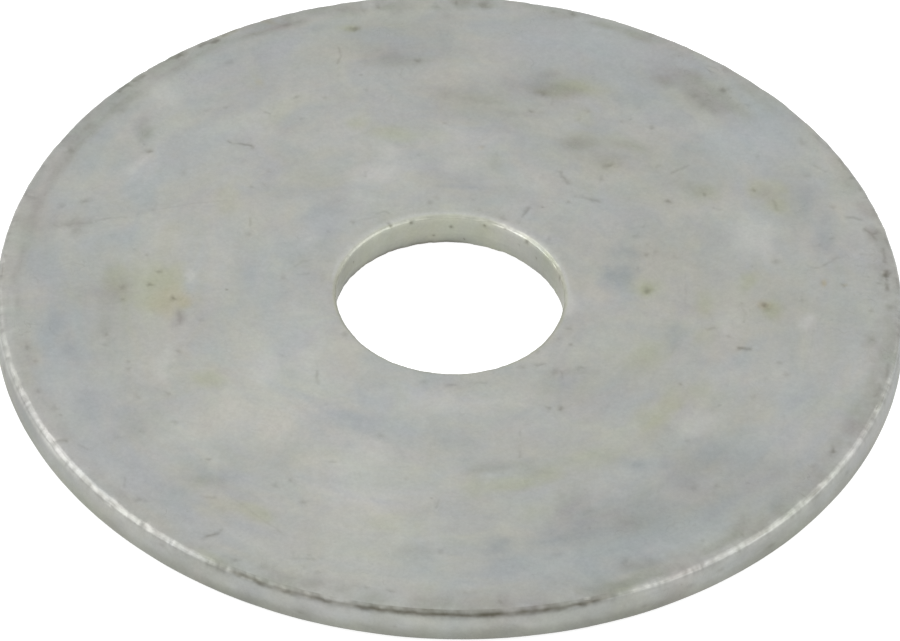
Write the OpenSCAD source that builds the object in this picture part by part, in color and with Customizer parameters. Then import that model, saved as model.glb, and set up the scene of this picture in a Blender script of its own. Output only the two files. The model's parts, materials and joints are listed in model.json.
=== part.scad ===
// Fender washer, blanked from flat sheet steel and then tumbled and plated.
// The punch came down on the upper face. It left a rolled edge, a smooth sheared band and a torn band
// on each rim. The two rims run in opposite order: the outer rim is rolled below and torn above, and
// the bore is rolled above and torn below.
// The origin is the centre of the lower face, and +Z runs up along the bore. Sizes are millimetres.

/* [Blank] */
// Outside diameter, over the smooth sheared band of the outer rim
outer_d = 35; // [24:0.5:80]
// Diameter of the bore, over its smooth sheared band
bore_d = 8.7; // [4:0.05:18]
// Thickness of the sheet
thickness = 1.5; // [1.2:0.05:4]

/* [Outer rim] */
// Width of the rolled edge under the rim
rim_roll_w = 0.4; // [0.1:0.02:0.7]
// Height of the rolled edge under the rim
rim_roll_h = 0.28; // [0.06:0.02:0.35]
// Height of the smooth sheared band above the rolled edge
rim_shear_h = 0.42; // [0.1:0.02:0.6]
// Distance that the torn band leans in before it meets the upper face
rim_lean = 0.06; // [0.02:0.01:0.3]
// Radius of the tumbled upper corner of the rim
rim_corner_r = 0.12; // [0.02:0.01:0.16]
// Width of the strip of the upper face that the stroke drew down along the rim
draw_down_w = 1.1; // [0.4:0.1:2]
// Depth of that strip where it meets the rim
draw_down_h = 0.04; // [0.01:0.01:0.1]

/* [Bore rim] */
// Width of the rolled edge round the top of the bore
bore_roll_w = 0.17; // [0.06:0.01:0.4]
// Height of the rolled edge round the top of the bore
bore_roll_h = 0.12; // [0.04:0.01:0.25]
// Height of the smooth sheared band below the rolled edge
bore_shear_h = 0.8; // [0.3:0.02:0.8]
// Distance that the torn band flares out before it meets the lower face
bore_flare = 0.08; // [0.02:0.01:0.2]
// Radius of the tumbled lower corner of the bore
bore_corner_r = 0.06; // [0.02:0.01:0.08]

/* [Hidden] */
$fa = 1;
$fs = 0.02;
outer_r = outer_d / 2;
bore_r = bore_d / 2;
// Height at which each rim tears, above or below its smooth band
rim_torn_z = rim_roll_h + rim_shear_h;
bore_torn_z = thickness - bore_roll_h - bore_shear_h;
// Crest of the outer rim, where the torn band meets the strip that is drawn down
crest_r = outer_r - rim_lean;
crest_z = thickness - draw_down_h;
// Radius of the bore's mouth in the lower face
mouth_r = bore_r + bore_flare;
// Cutters run this far past the outline that they cut
overshoot = 1;

function unit(angle) = [cos(angle), sin(angle)];

function heading(from, to) = atan2(to[1] - from[1], to[0] - from[0]);

// Radius of an arc that leaves a face level and falls by h over a width of w
function roll_r(w, h) = (w * w + h * h) / (2 * h);

// Slope at the far end of that arc, in degrees
function roll_slope(w, h) = 2 * atan2(h, w);

// Half section with every corner sharp, +X outwards and +Y up
module sharp_section() {
    polygon([
        [mouth_r, 0],
        [outer_r, 0],
        [outer_r, rim_torn_z],
        [crest_r, crest_z],
        [crest_r, thickness],
        [bore_r, thickness],
        [bore_r, bore_torn_z],
    ]);
}

// Takes a rolled edge off a corner at the origin, for a face along -X and a wall up +Y
module roll_cut(w, h) {
    r = roll_r(w, h);
    difference() {
        translate([-w, -overshoot]) square([w + overshoot, h + overshoot]);
        translate([-w, r]) circle(r);
    }
}

// Rounds a corner at the origin, for edges that leave it at angle a and, anticlockwise, at angle b
module corner_cut(a, b, r) {
    half = (b - a) / 2;
    middle = unit(a + half);
    reach = r / tan(half);
    difference() {
        polygon([-overshoot * middle, reach * unit(a), reach * unit(b)]);
        translate(r / sin(half) * middle) circle(r);
    }
}

// Half section as the stroke and the tumbling left it
module section() {
    draw_down_heading = 180 - roll_slope(draw_down_w, draw_down_h);
    rim_torn_heading = 360 + heading([crest_r, crest_z], [outer_r, rim_torn_z]);
    bore_torn_heading = heading([mouth_r, 0], [bore_r, bore_torn_z]);
    difference() {
        sharp_section();
        translate([outer_r, 0]) roll_cut(rim_roll_w, rim_roll_h);
        translate([crest_r, thickness]) mirror([0, 1]) roll_cut(draw_down_w, draw_down_h);
        translate([crest_r, crest_z]) corner_cut(draw_down_heading, rim_torn_heading, rim_corner_r);
        translate([bore_r, thickness]) rotate(180) roll_cut(bore_roll_w, bore_roll_h);
        translate([mouth_r, 0]) corner_cut(0, bore_torn_heading, bore_corner_r);
    }
}

module washer() {
    color([0.67, 0.68, 0.66]) rotate_extrude() section();
}

washer();
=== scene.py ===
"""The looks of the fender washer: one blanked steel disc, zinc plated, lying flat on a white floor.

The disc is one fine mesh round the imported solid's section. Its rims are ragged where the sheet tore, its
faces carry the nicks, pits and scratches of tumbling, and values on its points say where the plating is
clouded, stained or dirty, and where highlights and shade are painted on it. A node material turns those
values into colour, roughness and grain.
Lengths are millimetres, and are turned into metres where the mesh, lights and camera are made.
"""

import json
import math

import bpy
import numpy as np
from mathutils import Matrix, Vector
from mathutils.geometry import delaunay_2d_cdt


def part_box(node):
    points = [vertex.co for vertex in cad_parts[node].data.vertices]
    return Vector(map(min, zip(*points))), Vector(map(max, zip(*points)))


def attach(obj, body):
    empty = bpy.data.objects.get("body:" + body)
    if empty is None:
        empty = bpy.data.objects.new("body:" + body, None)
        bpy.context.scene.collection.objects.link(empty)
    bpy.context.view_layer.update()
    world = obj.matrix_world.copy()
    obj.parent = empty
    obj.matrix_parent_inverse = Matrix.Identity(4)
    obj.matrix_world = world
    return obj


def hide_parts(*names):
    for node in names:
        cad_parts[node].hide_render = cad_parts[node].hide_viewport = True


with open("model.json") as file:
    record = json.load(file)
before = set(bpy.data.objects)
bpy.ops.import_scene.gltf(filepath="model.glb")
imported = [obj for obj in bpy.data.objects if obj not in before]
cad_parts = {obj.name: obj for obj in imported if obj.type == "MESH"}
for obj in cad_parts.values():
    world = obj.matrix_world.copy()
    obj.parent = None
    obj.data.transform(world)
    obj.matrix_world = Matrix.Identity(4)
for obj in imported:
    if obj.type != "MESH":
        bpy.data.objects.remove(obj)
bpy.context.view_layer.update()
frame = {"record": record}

MM = 0.001
NODE = "washer"

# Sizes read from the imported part
low_corner, high_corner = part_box(NODE)
OUTER_R = (high_corner.x - low_corner.x) / 2 / MM
THICKNESS = (high_corner.z - low_corner.z) / MM
BORE_MOUNT = next(m for m in frame["record"]["mounts"] if m["kind"] == "bore")
BORE_R = BORE_MOUNT["dims"]["r_mm"]

# The section's edges, as in the part's source: width and height of a rolled edge, and so on
RIM_ROLL = (0.40, 0.28)
RIM_SHEAR_H = 0.42
RIM_LEAN = 0.06
DRAW_DOWN = (1.1, 0.04)
BORE_ROLL = (0.17, 0.12)
BORE_SHEAR_H = 0.80
BORE_FLARE = 0.08
BORE_CORNER_R = 0.06

CREST_R = OUTER_R - RIM_LEAN
CREST_Z = THICKNESS - DRAW_DOWN[1]
RIM_TORN_Z = RIM_ROLL[1] + RIM_SHEAR_H
MOUTH_R = BORE_R + BORE_FLARE
BORE_TORN_Z = THICKNESS - BORE_ROLL[1] - BORE_SHEAR_H

# Points round the rim's crest, the rest of the rim, and the bore
CREST_COUNT = 1680
RIM_COUNT = 840
BORE_COUNT = 480
# The face's own points lie between these radii, where the bore's rings end and the crest's begin
BORE_START_R = 4.98
CREST_START_R = 16.98
# The crest's close rings end at this height on the rim
CREST_END_Z = 1.04
# Radius that tumbling wore the crest to
WORN_CREST_R = 0.32
# Points of the face that agree to this many digits are one point
PLACE_DIGITS = 5

# Scale round the washer of noise that is drawn out in strokes
STROKE_SCALE = 4.5
# Height of the grain in the plating
GRAIN_HEIGHT = 0.003

# The camera: a long lens that looks down on the washer from the front
CAMERA_DISTANCE = 400.3
CAMERA_ELEVATION = 43.33
CAMERA_ROLL = 2.16
CAMERA_LENS = 415.6
SENSOR_W = 36.0
# Where the lens points, right of and above the origin in the picture plane
CAMERA_AIM = (0.034, 0.045)
# Nearest and furthest that it sees, in metres
CAMERA_CLIP = (0.01, 20)

# The floor lies this far below the washer, and reaches this far from it
FLOOR_DROP = 0.02
FLOOR_HALF = 2000
# The softboxes stand this far away
SOFTBOX_DISTANCE = 600


# Noise

def hash01(ix, iy, iz, seed):
    """A repeatable number from 0 to 1 for each whole-number lattice point."""
    x_step, y_step, z_step, seed_step = 73856093, 19349663, 83492791, 39916801
    first_spread, second_spread = 1274126177, 1103515245
    most, last_most = 0x7FFFFFFF, 0xFFFFFF
    h = (ix * x_step + iy * y_step + iz * z_step + seed * seed_step) & most
    h = ((h ^ (h >> 13)) * first_spread) & most
    h = ((h ^ (h >> 16)) * second_spread) & most
    return ((h ^ (h >> 14)) & last_most) / float(last_most)


def smooth_noise(points, size, seed):
    """Smooth noise from -1 to 1 at each point, in blobs about size across."""
    q = np.asarray(points, float) / size
    cell = np.floor(q).astype(np.int64)
    f = q - cell
    f = f * f * f * (f * (f * 6 - 15) + 10)
    total = np.zeros(len(q))
    for dx in (0, 1):
        for dy in (0, 1):
            for dz in (0, 1):
                weight = (
                    (f[:, 0] if dx else 1 - f[:, 0])
                    * (f[:, 1] if dy else 1 - f[:, 1])
                    * (f[:, 2] if dz else 1 - f[:, 2])
                )
                total += weight * hash01(cell[:, 0] + dx, cell[:, 1] + dy, cell[:, 2] + dz, seed)
    return total * 2 - 1


def rough_noise(points, size, seed, octaves=3):
    """Smooth noise of several sizes added up, each half the last."""
    seed_step = 17
    total = np.zeros(len(points))
    reach = 0.0
    for k in range(octaves):
        share = 0.5**k
        total += share * smooth_noise(points, size / 2**k, seed + seed_step * k)
        reach += share
    return total / reach


def ramp(x, low, high):
    """0 below low, 1 above high and a smooth rise between."""
    t = np.clip((x - low) / (high - low), 0, 1)
    return t * t * (3 - 2 * t)


def hump(x, width=1.0):
    """1 at x = 0, falling off smoothly on both sides over about width."""
    return np.exp(-((x / width) ** 2))


def sector(degrees, start, end, soft=4.0):
    """1 for directions from start to end degrees, fading out over soft degrees past each."""
    middle = (start + end) / 2
    off = np.abs((degrees - middle + 180) % 360 - 180)
    return 1 - ramp(off, (end - start) / 2, (end - start) / 2 + soft)


# Marks on the upper face. Places are X and Y on the washer, with -Y nearest the camera.

# Small pits and specks: x, y, radius, darkness from 0 to 1
PITS = [
    (-4.15, 15.1, 0.15, 1), (-4.7, 13.1, 0.09, 0.6), (-1.6, 13.35, 0.11, 0.7), (-5.2, 10.95, 0.1, 0.5),
    (-3.6, 11.5, 0.11, 0.4), (-0.45, 9.7, 0.1, 0.6), (-1.5, 7.9, 0.12, 0.4), (1, 8.5, 0.1, 0.4),
    (2.85, 10.6, 0.12, 0.7), (3.3, 11.7, 0.16, 0.6), (5.1, 10.7, 0.1, 0.5), (4.8, 10.2, 0.09, 0.4),
    (5.7, 6.8, 0.14, 0.6), (6.1, 7.6, 0.2, 0.7), (6.5, 10.2, 0.1, 0.5), (7.65, 9.95, 0.12, 0.6),
    (7.9, 7.7, 0.14, 0.4), (9.7, 6.2, 0.11, 0.6), (10.45, 12.35, 0.16, 1), (9.3, 11.9, 0.16, 0.5),
    (11.8, 8.5, 0.13, 0.5), (11.6, 6.5, 0.11, 0.8), (13.6, 9.4, 0.14, 0.5), (13.7, 7.5, 0.12, 0.4),
    (15.5, 7.5, 0.12, 0.6), (15.8, 6.9, 0.1, 0.6), (-9, 12.8, 0.15, 0.5), (-9.8, 10, 0.14, 0.4),
    (-8.95, 10.15, 0.12, 0.5), (-6.35, 10.9, 0.09, 0.6), (-6.1, 9.7, 0.12, 0.4), (-11.9, 7.5, 0.11, 0.9),
    (-10.5, 6.3, 0.1, 0.4), (-7.3, 6.6, 0.1, 0.4), (-7.95, 7.87, 0.09, 0.7), (-15, 7.3, 0.15, 0.6),
    (-14.3, 4.45, 0.13, 0.7), (-15.1, 4.1, 0.15, 0.5), (-16.4, 4.6, 0.18, 0.5), (-17.2, 1.3, 0.12, 0.5),
    (-11.6, 4.05, 0.12, 0.5), (-12.2, 1.8, 0.09, 0.4), (-11.75, 1.57, 0.09, 0.6), (-11.2, 0.63, 0.1, 0.8),
    (-11.5, -0.08, 0.1, 0.9), (-12.55, -0.3, 0.11, 0.6), (-12.6, -1.05, 0.1, 0.6), (-10.6, -0.9, 0.12, 1),
    (-13.1, -3, 0.11, 0.5), (-13.1, -3.6, 0.1, 0.5), (-12.1, -4.4, 0.11, 0.4), (-12.15, -4.8, 0.1, 0.5),
    (-16, -3.85, 0.13, 0.6), (-15.7, -4.6, 0.12, 0.5), (-9.4, -1.95, 0.14, 0.4), (-10.25, -3.8, 0.11, 0.6),
    (-10.6, -6.1, 0.12, 0.6), (-7.85, 5.65, 0.11, 0.6), (-7.35, 5.75, 0.12, 0.4), (-7.9, 2.9, 0.15, 0.5),
    (-6.4, 0.6, 0.14, 0.4), (-6.3, -3.8, 0.11, 0.4), (-15.6, -6.3, 0.14, 0.6), (-14.8, -7.1, 0.18, 0.5),
    (-10.25, -7.7, 0.12, 0.6), (-12.35, -8.6, 0.11, 0.4), (-11.5, -8.3, 0.11, 0.4), (-8.9, -9.6, 0.12, 0.7),
    (-11.3, -11.9, 0.16, 0.6), (-7.7, -15, 0.14, 0.6), (-7.3, -15.7, 0.1, 0.7), (-6.35, -10.9, 0.15, 0.5),
    (-5.7, -10.55, 0.12, 0.5), (-5.2, -11.75, 0.11, 0.6), (-5.05, -15.2, 0.1, 0.4),
    (-4.5, -15.45, 0.12, 0.5), (-2.7, -16.1, 0.12, 0.5), (-1.8, -16.3, 0.14, 0.6), (2.35, -16.6, 0.14, 0.6),
    (5.7, -16.3, 0.15, 0.9), (-2.4, -7.9, 0.12, 0.5), (-0.9, -5, 0.11, 0.5), (-3.95, -2.55, 0.13, 0.6),
    (2.85, -7.6, 0.1, 0.5), (2.9, -4, 0.1, 0.6), (3.4, -3, 0.1, 0.6), (4.2, -2.3, 0.12, 0.5),
    (4.7, -2.58, 0.09, 0.8), (4.65, -1.75, 0.12, 0.5), (4.15, -4.1, 0.14, 0.6), (5.15, -3.85, 0.14, 0.6),
    (3.9, -6.1, 0.11, 0.7), (4.4, -6.1, 0.12, 0.8), (2.05, 4.4, 0.13, 0.6), (3.5, 5.1, 0.09, 0.9),
    (2.5, 4.2, 0.12, 0.4), (0.75, 5.4, 0.1, 0.4), (0.95, 4.85, 0.1, 0.4), (-0.9, 5.05, 0.1, 0.6),
    (-0.7, 5.4, 0.09, 0.4), (4.5, 5.5, 0.08, 0.7), (-3.9, 3.8, 0.11, 0.6), (-4.8, 3.25, 0.12, 0.4),
    (8.35, 5.7, 0.12, 0.9), (7.1, 3.7, 0.11, 0.5), (7.5, 3.2, 0.1, 0.4), (7.5, 2.6, 0.1, 0.7),
    (7.9, 2.75, 0.12, 0.4), (8.6, 2.5, 0.14, 0.4), (12.5, 2.5, 0.13, 0.6), (11.6, 2.2, 0.09, 0.4),
    (7.6, 0.65, 0.13, 0.9), (7.2, 1.8, 0.11, 0.4), (12.1, -0.05, 0.16, 1), (13.55, 0.45, 0.11, 0.6),
    (11.2, 0.05, 0.1, 0.5), (10.7, -1.75, 0.12, 0.5), (14.35, 1.4, 0.12, 0.4), (15.15, 1.35, 0.13, 0.6),
    (14.7, 3.95, 0.09, 0.6), (14.2, 3.5, 0.12, 0.4), (14.7, 5.7, 0.12, 0.5), (16.75, 1.95, 0.22, 1.4),
    (16.5, 1.5, 0.1, 0.6), (16.9, 0.2, 0.16, 0.5), (16.2, -0.1, 0.11, 0.5), (16.2, -1.7, 0.18, 0.5),
    (16.45, -5.4, 0.12, 0.5), (15.3, -7.4, 0.09, 0.4), (12.9, -3.8, 0.11, 0.5), (12.7, -3.2, 0.1, 0.5),
    (8.9, -4.5, 0.1, 0.7), (11.65, -5.1, 0.13, 0.4), (14.75, -7.9, 0.17, 1), (9.15, -7.6, 0.11, 0.5),
    (11.5, -9.8, 0.12, 0.6), (13.9, -8.8, 0.13, 0.4), (9.4, -10.1, 0.18, 0.5), (10.3, -10.1, 0.11, 0.5),
    (6.95, -14.3, 0.16, 0.5), (11.35, -12.6, 0.14, 0.6), (9.9, -13, 0.11, 0.5), (4.3, -14.05, 0.16, 0.4),
    (0, -14.1, 0.1, 0.5), (-3.3, 16.5, 0.14, 0.7), (-3.9, 16.1, 0.12, 0.5), (-1, 16.6, 0.13, 0.5),
    (-0.2, 16.8, 0.11, 0.6), (0.9, 16.8, 0.22, 0.7), (4.4, 16.4, 0.16, 0.9), (3.6, 16.5, 0.12, 0.5),
    (-6.8, 15.2, 0.13, 0.5), (7.6, 15.35, 0.16, 0.5), (10.5, 13.4, 0.15, 0.4), (11.4, 11.4, 0.09, 0.4),
]

# Scratches, dents and squiggles: half width, darkness, then the points of a broken line
SCRATCHES = [
    (0.07, 0.8, [(-8.9, 8.15), (-8.7, 8.02), (-8.4, 8.08), (-8, 7.95)]),
    (0.05, 0.5, [(-13.8, 3.35), (-13.35, 3.5), (-12.6, 3.65)]),
    (0.03, 0.3, [(-12.6, 3.65), (-11.6, 4.05), (-10, 4.55), (-8.8, 4.8)]),
    (0.09, 0.45, [(-15.4, 3), (-14.6, 3.15), (-14, 3.25)]),
    (0.11, 0.9, [(11.1, -2.45), (11.55, -2.4)]),
    (0.09, 1, [(2.65, 4.5), (2.85, 4.95)]),
    (0.1, 0.8, [(4.1, 7.2), (4.2, 6.9), (4.4, 6.55)]),
    (0.09, 0.6, [(4.7, 5.8), (5.1, 5.75), (5.6, 5.6)]),
    (0.06, 0.5, [(8.4, 7.35), (8.9, 7.65), (9.1, 7.8)]),
    (0.06, 0.4, [(7.4, 4.15), (7.5, 4.55)]),
    (0.09, 0.8, [(-8.85, -13.8), (-8.5, -13.65), (-8.2, -13.4)]),
    (0.07, 0.6, [(-4.95, -4.6), (-5, -5), (-4.85, -5.3)]),
    (0.08, 0.8, [(-4.3, -9.55), (-4.1, -9.55)]),
    (0.07, 0.5, [(-5.5, -14.8), (-5.1, -14.75), (-4.7, -14.8)]),
    (0.07, 0.6, [(-8.9, -11.65), (-8.5, -11.7)]),
    (0.05, 0.35, [(-8, -11.6), (-7.4, -12.1), (-6.7, -12.8), (-6, -13.4)]),
    (0.05, 0.25, [(14, -1), (13.85, -2.5), (13.6, -3.6)]),
    (0.06, 0.5, [(-7.7, 10.1), (-7.3, 9.9)]),
    (0.08, 0.6, [(-3.45, 6.7), (-3.45, 6.45)]),
    (0.06, 0.4, [(-3.9, 3.8), (-3.4, 4.05), (-3, 4.2)]),
    (0.06, 0.4, [(-2.9, 4.4), (-2.6, 4.55), (-2.45, 4.4)]),
    (0.06, 0.35, [(-6, 1.2), (-5.75, 1.5), (-5.45, 1.6)]),
    (0.06, 0.35, [(-5.1, 1.5), (-5.1, 1.1)]),
    (0.06, 0.4, [(-5.9, 0.75), (-5.5, 0.8)]),
    (0.07, 0.3, [(-4.9, 0.9), (-4.9, 0.5)]),
    (0.05, 0.25, [(9, 1.8), (9.05, 0.6), (9.05, -0.5)]),
    (0.07, 0.6, [(15.2, 5.15), (15.5, 5.2), (15.8, 5.05)]),
    (0.1, 0.7, [(16, 4.6), (16.25, 4.3), (16.45, 4.5)]),
    (0.08, 0.6, [(16.25, 4.2), (16.4, 3.9)]),
    (0.09, 0.7, [(16.65, 3.5), (16.75, 2.7)]),
    (0.1, 1.2, [(16.75, 1.9), (16.85, 1.2)]),
    (0.06, 0.5, [(13.7, 2.4), (14, 2.2), (14.4, 2.4), (14.8, 2.8), (15.2, 3)]),
    (0.05, 0.4, [(15.8, 3.1), (16.2, 3.1)]),
    (0.06, 0.5, [(14, 8.05), (14.3, 7.85), (14.45, 7.75)]),
    (0.08, 0.7, [(-14.8, -8.9), (-14.3, -8.9)]),
    (0.08, 0.5, [(-13.8, -9.1), (-13.5, -9.35)]),
    (0.13, 1, [(-13.3, 10.9), (-13, 11.3)]),
    (0.12, 0.9, [(-12.6, 11.6), (-12.4, 11.85)]),
    (0.14, 1, [(-11.2, 13), (-10.9, 13.25)]),
    (0.09, 0.8, [(-11.45, 12.8), (-11.35, 12.9)]),
    (0.11, 1, [(-10.2, 13.8), (-9.6, 14.15)]),
    (0.1, 0.7, [(-9.3, 14.4), (-8.9, 14.75)]),
    (0.09, 0.9, [(-17.3, 0.8), (-17.22, 0.1)]),
    (0.06, 0.6, [(-4.75, 13.9), (-4.65, 13.4), (-4.75, 13)]),
    (0.05, 0.4, [(-2.2, 12.8), (-2.25, 12.4)]),
    (0.05, 0.4, [(3.7, 11.4), (3.7, 11)]),
    (0.06, 0.5, [(-7.85, 3.8), (-7.85, 3.4)]),
    (0.06, 0.5, [(-12, -10.8), (-12, -11.2)]),
    (0.07, 0.5, [(-11.8, -6.25), (-11.6, -6.5)]),
    (0.12, 0.35, [(-10.35, -1.5), (-10.3, -2.2)]),
    (0.07, 0.5, [(0.05, -5.05), (0.35, -5.05)]),
    (0.08, 0.35, [(0.9, -4.95), (1.5, -4.9)]),
    (0.08, 0.7, [(3.45, -3.8), (3.7, -3.7)]),
    (0.07, 0.6, [(4.35, -4.1), (4.45, -4.5)]),
    (0.07, 0.5, [(2.85, -8.3), (2.85, -8.85)]),
    (0.05, 0.4, [(-0.15, -11.4), (-0.25, -11.8)]),
    (0.08, 0.5, [(3.75, 3.4), (3.75, 3)]),
    (0.06, 0.5, [(9.9, -1.5), (10.15, -1.35)]),
    (0.05, 0.4, [(11.1, 0), (11.4, -0.5), (11.3, -1)]),
    (0.07, 0.5, [(12.45, 5.9), (12.6, 5.4)]),
    (0.07, 0.5, [(10.1, 5.45), (10.3, 5.3)]),
    (0.04, 0.25, [(12.85, -6.1), (12.75, -7.1)]),
    (0.05, 0.25, [(8.8, -8.7), (8.75, -9.4)]),
    (0.08, 0.6, [(16.85, -3), (16.75, -3.7)]),
    (0.09, 0.6, [(16.55, -4.2), (16.3, -4.8)]),
    (0.08, 0.6, [(15, 8.5), (15.25, 8)]),
    (0.07, 0.5, [(14, 9.9), (14.25, 9.5), (14.6, 9.2)]),
]

# Rust-red flecks in the plating: x, y, half length, half width, direction in degrees, strength
RUST_PATCHES = [
    (-7.75, 11.55, 0.26, 0.13, 75, 1), (-10.2, -1, 0.42, 0.28, 100, 0.5), (-10.9, -1.1, 0.8, 0.6, 60, 0.5),
    (14.35, 1.4, 0.3, 0.15, 90, 0.8), (12.05, 0, 0.3, 0.26, 0, 0.6), (-7.5, 15.3, 0.5, 0.2, -20, 0.5),
    (1, 8.4, 0.2, 0.2, 0, 0.4), (15.15, 1.35, 0.2, 0.15, 0, 0.5),
]

# Soft patches: x, y, half length, half width, direction in degrees, strength from 0 to 1
COOL_PATCHES = [
    (5.2, 14.6, 2.2, 1, -25, 0.9), (3.2, 15, 1.6, 0.6, 0, 0.9), (1, 15.3, 1.2, 0.6, -5, 0.7),
    (-2.8, 14.6, 1.4, 0.6, 0, 0.7), (-7.4, 14, 1.4, 0.9, 35, 0.7), (-9.6, 12.6, 2, 0.9, 40, 0.8),
    (-10.4, 10.8, 1.4, 0.9, 110, 0.6), (-9.6, 9, 1.6, 1, 30, 0.6), (-13.6, 8.4, 1.6, 0.9, 60, 0.7),
    (-14, 6.6, 1.3, 0.9, 80, 0.8), (-12, 5.4, 1.2, 0.8, 60, 0.7), (-13, 2.4, 1.4, 1, 30, 0.7),
    (-15.4, 0.3, 1.6, 0.8, 95, 0.8), (-15, -2.6, 1.6, 0.9, 95, 0.9), (-14.4, -4.2, 1.4, 0.8, 100, 0.9),
    (-15, -5.4, 1, 0.7, 110, 0.8), (-13.6, -7.2, 1.2, 0.7, 115, 0.8), (-13.4, -9, 1.6, 0.8, 110, 0.6),
    (-11.8, -10.6, 1.8, 1.1, 130, 0.7), (-10, -12.2, 1.6, 0.9, 140, 0.7), (-9.2, -13.4, 1, 0.6, 140, 0.6),
    (-10.4, -9.7, 1.8, 0.7, 0, 0.6), (-7.4, 0.3, 1.4, 1.1, 80, 0.8), (-7.1, -1.2, 1.1, 0.6, 90, 0.7),
    (-6.5, 2.3, 0.8, 0.8, 0, 0.6), (-3.4, -6.9, 2.2, 1, -10, 0.8), (-1.6, -7.6, 0.9, 0.7, -20, 0.8),
    (1.3, -6.6, 1.4, 0.7, 10, 0.6), (0.6, -8.4, 1, 0.8, -50, 0.6), (-8, -10.5, 1.6, 0.5, -5, 0.7),
    (-7.5, -13.8, 1.2, 0.6, -25, 0.6), (-0.6, -15.3, 1.8, 0.6, 3, 0.6), (2.6, -14.8, 1.6, 0.8, 10, 0.7),
    (4.8, -14.4, 2, 1.2, 15, 0.9), (7.6, -13.4, 2.2, 1, 25, 0.9), (9.8, -12.2, 1.4, 1, 40, 0.8),
    (10.6, -11.2, 1.4, 0.7, 45, 0.7), (11.4, -7.6, 1.6, 0.8, 35, 0.9), (13.2, -5, 1.5, 0.8, 50, 0.9),
    (11.3, -3.3, 1.2, 0.7, 30, 0.8), (12.2, -2.2, 1, 0.5, 30, 0.6), (14.2, 5.4, 1.6, 1, 110, 0.6),
    (14.3, 7.1, 0.8, 0.5, 60, 0.7), (12, 9.9, 1.6, 1.2, -60, 0.9), (10.3, 9.2, 1.2, 0.8, -20, 0.7),
    (11.3, 8.5, 1.2, 0.5, -10, 0.7), (9.2, 13.7, 1.2, 0.5, -35, 0.7), (6.6, 12.2, 1.2, 1, -10, 0.6),
    (6.6, 0.6, 0.8, 0.8, 60, 0.9), (3, 8.6, 0.9, 0.6, 0, 0.6), (-5.3, 4.2, 1.4, 1, 140, 0.7),
    (6.6, -5.2, 1.2, 1, 120, 0.6), (7.3, -9.2, 0.9, 0.7, 20, 0.6),
]
SLATE_PATCHES = [
    (-9, 12.8, 0.5, 0.4, 60, 0.3), (-12.2, 8.5, 0.9, 0.35, 95, 0.3), (-0.5, 14.8, 0.9, 0.6, 90, 0.5),
    (-2.6, 13.6, 1.8, 0.5, 3, 0.3), (7.5, 11.4, 1.2, 0.7, -10, 0.6), (8.6, 10.4, 0.8, 0.5, -30, 0.6),
    (-4, 4.5, 1.2, 1, 120, 0.3), (-15.3, -2.6, 0.9, 0.7, 90, 0.4), (-14.6, -3.8, 0.9, 0.6, 110, 0.5),
    (-13.5, -7.1, 0.8, 0.5, 110, 0.6), (-3.3, -7.5, 2, 0.9, -20, 0.3), (0.7, -8.7, 0.9, 0.7, 0, 0.3),
    (-8.8, -10.6, 1.2, 0.5, 0, 0.35), (-7.4, -11.4, 0.5, 0.4, 0, 0.6), (1.9, -13.3, 0.8, 0.8, 0, 0.6),
    (0.6, -13.8, 1.2, 0.5, 15, 0.5), (4.8, -12.8, 1.6, 1.1, 20, 0.5), (7, -11.4, 2.2, 1.4, 30, 0.4),
    (7.6, -12.6, 2, 0.9, 25, 0.5), (8.9, -9.9, 1.4, 0.8, 80, 0.35), (8.4, -13.6, 1.8, 0.7, 25, 0.5),
    (6.9, -14.3, 0.5, 0.4, 0, 0.5), (12.5, -10.7, 0.7, 0.3, 80, 0.6), (14.1, -8.4, 0.6, 0.5, 120, 0.5),
    (13.2, -5, 1.4, 0.8, 50, 0.4), (6.25, 1.35, 0.8, 0.6, 80, 1), (6.6, 2.7, 0.6, 0.5, 0, 0.5),
    (8.7, -2.1, 1, 0.4, 105, 0.45), (14.2, 3.5, 0.6, 0.4, 90, 0.3), (14.3, 6.4, 0.8, 0.6, 0, 0.3),
    (7.4, -9.2, 0.5, 0.4, 0, 0.6), (5.7, -15.7, 0.5, 0.4, 30, 0.7), (0.4, 6.1, 1.2, 0.2, 0, 0.6),
]
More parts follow.
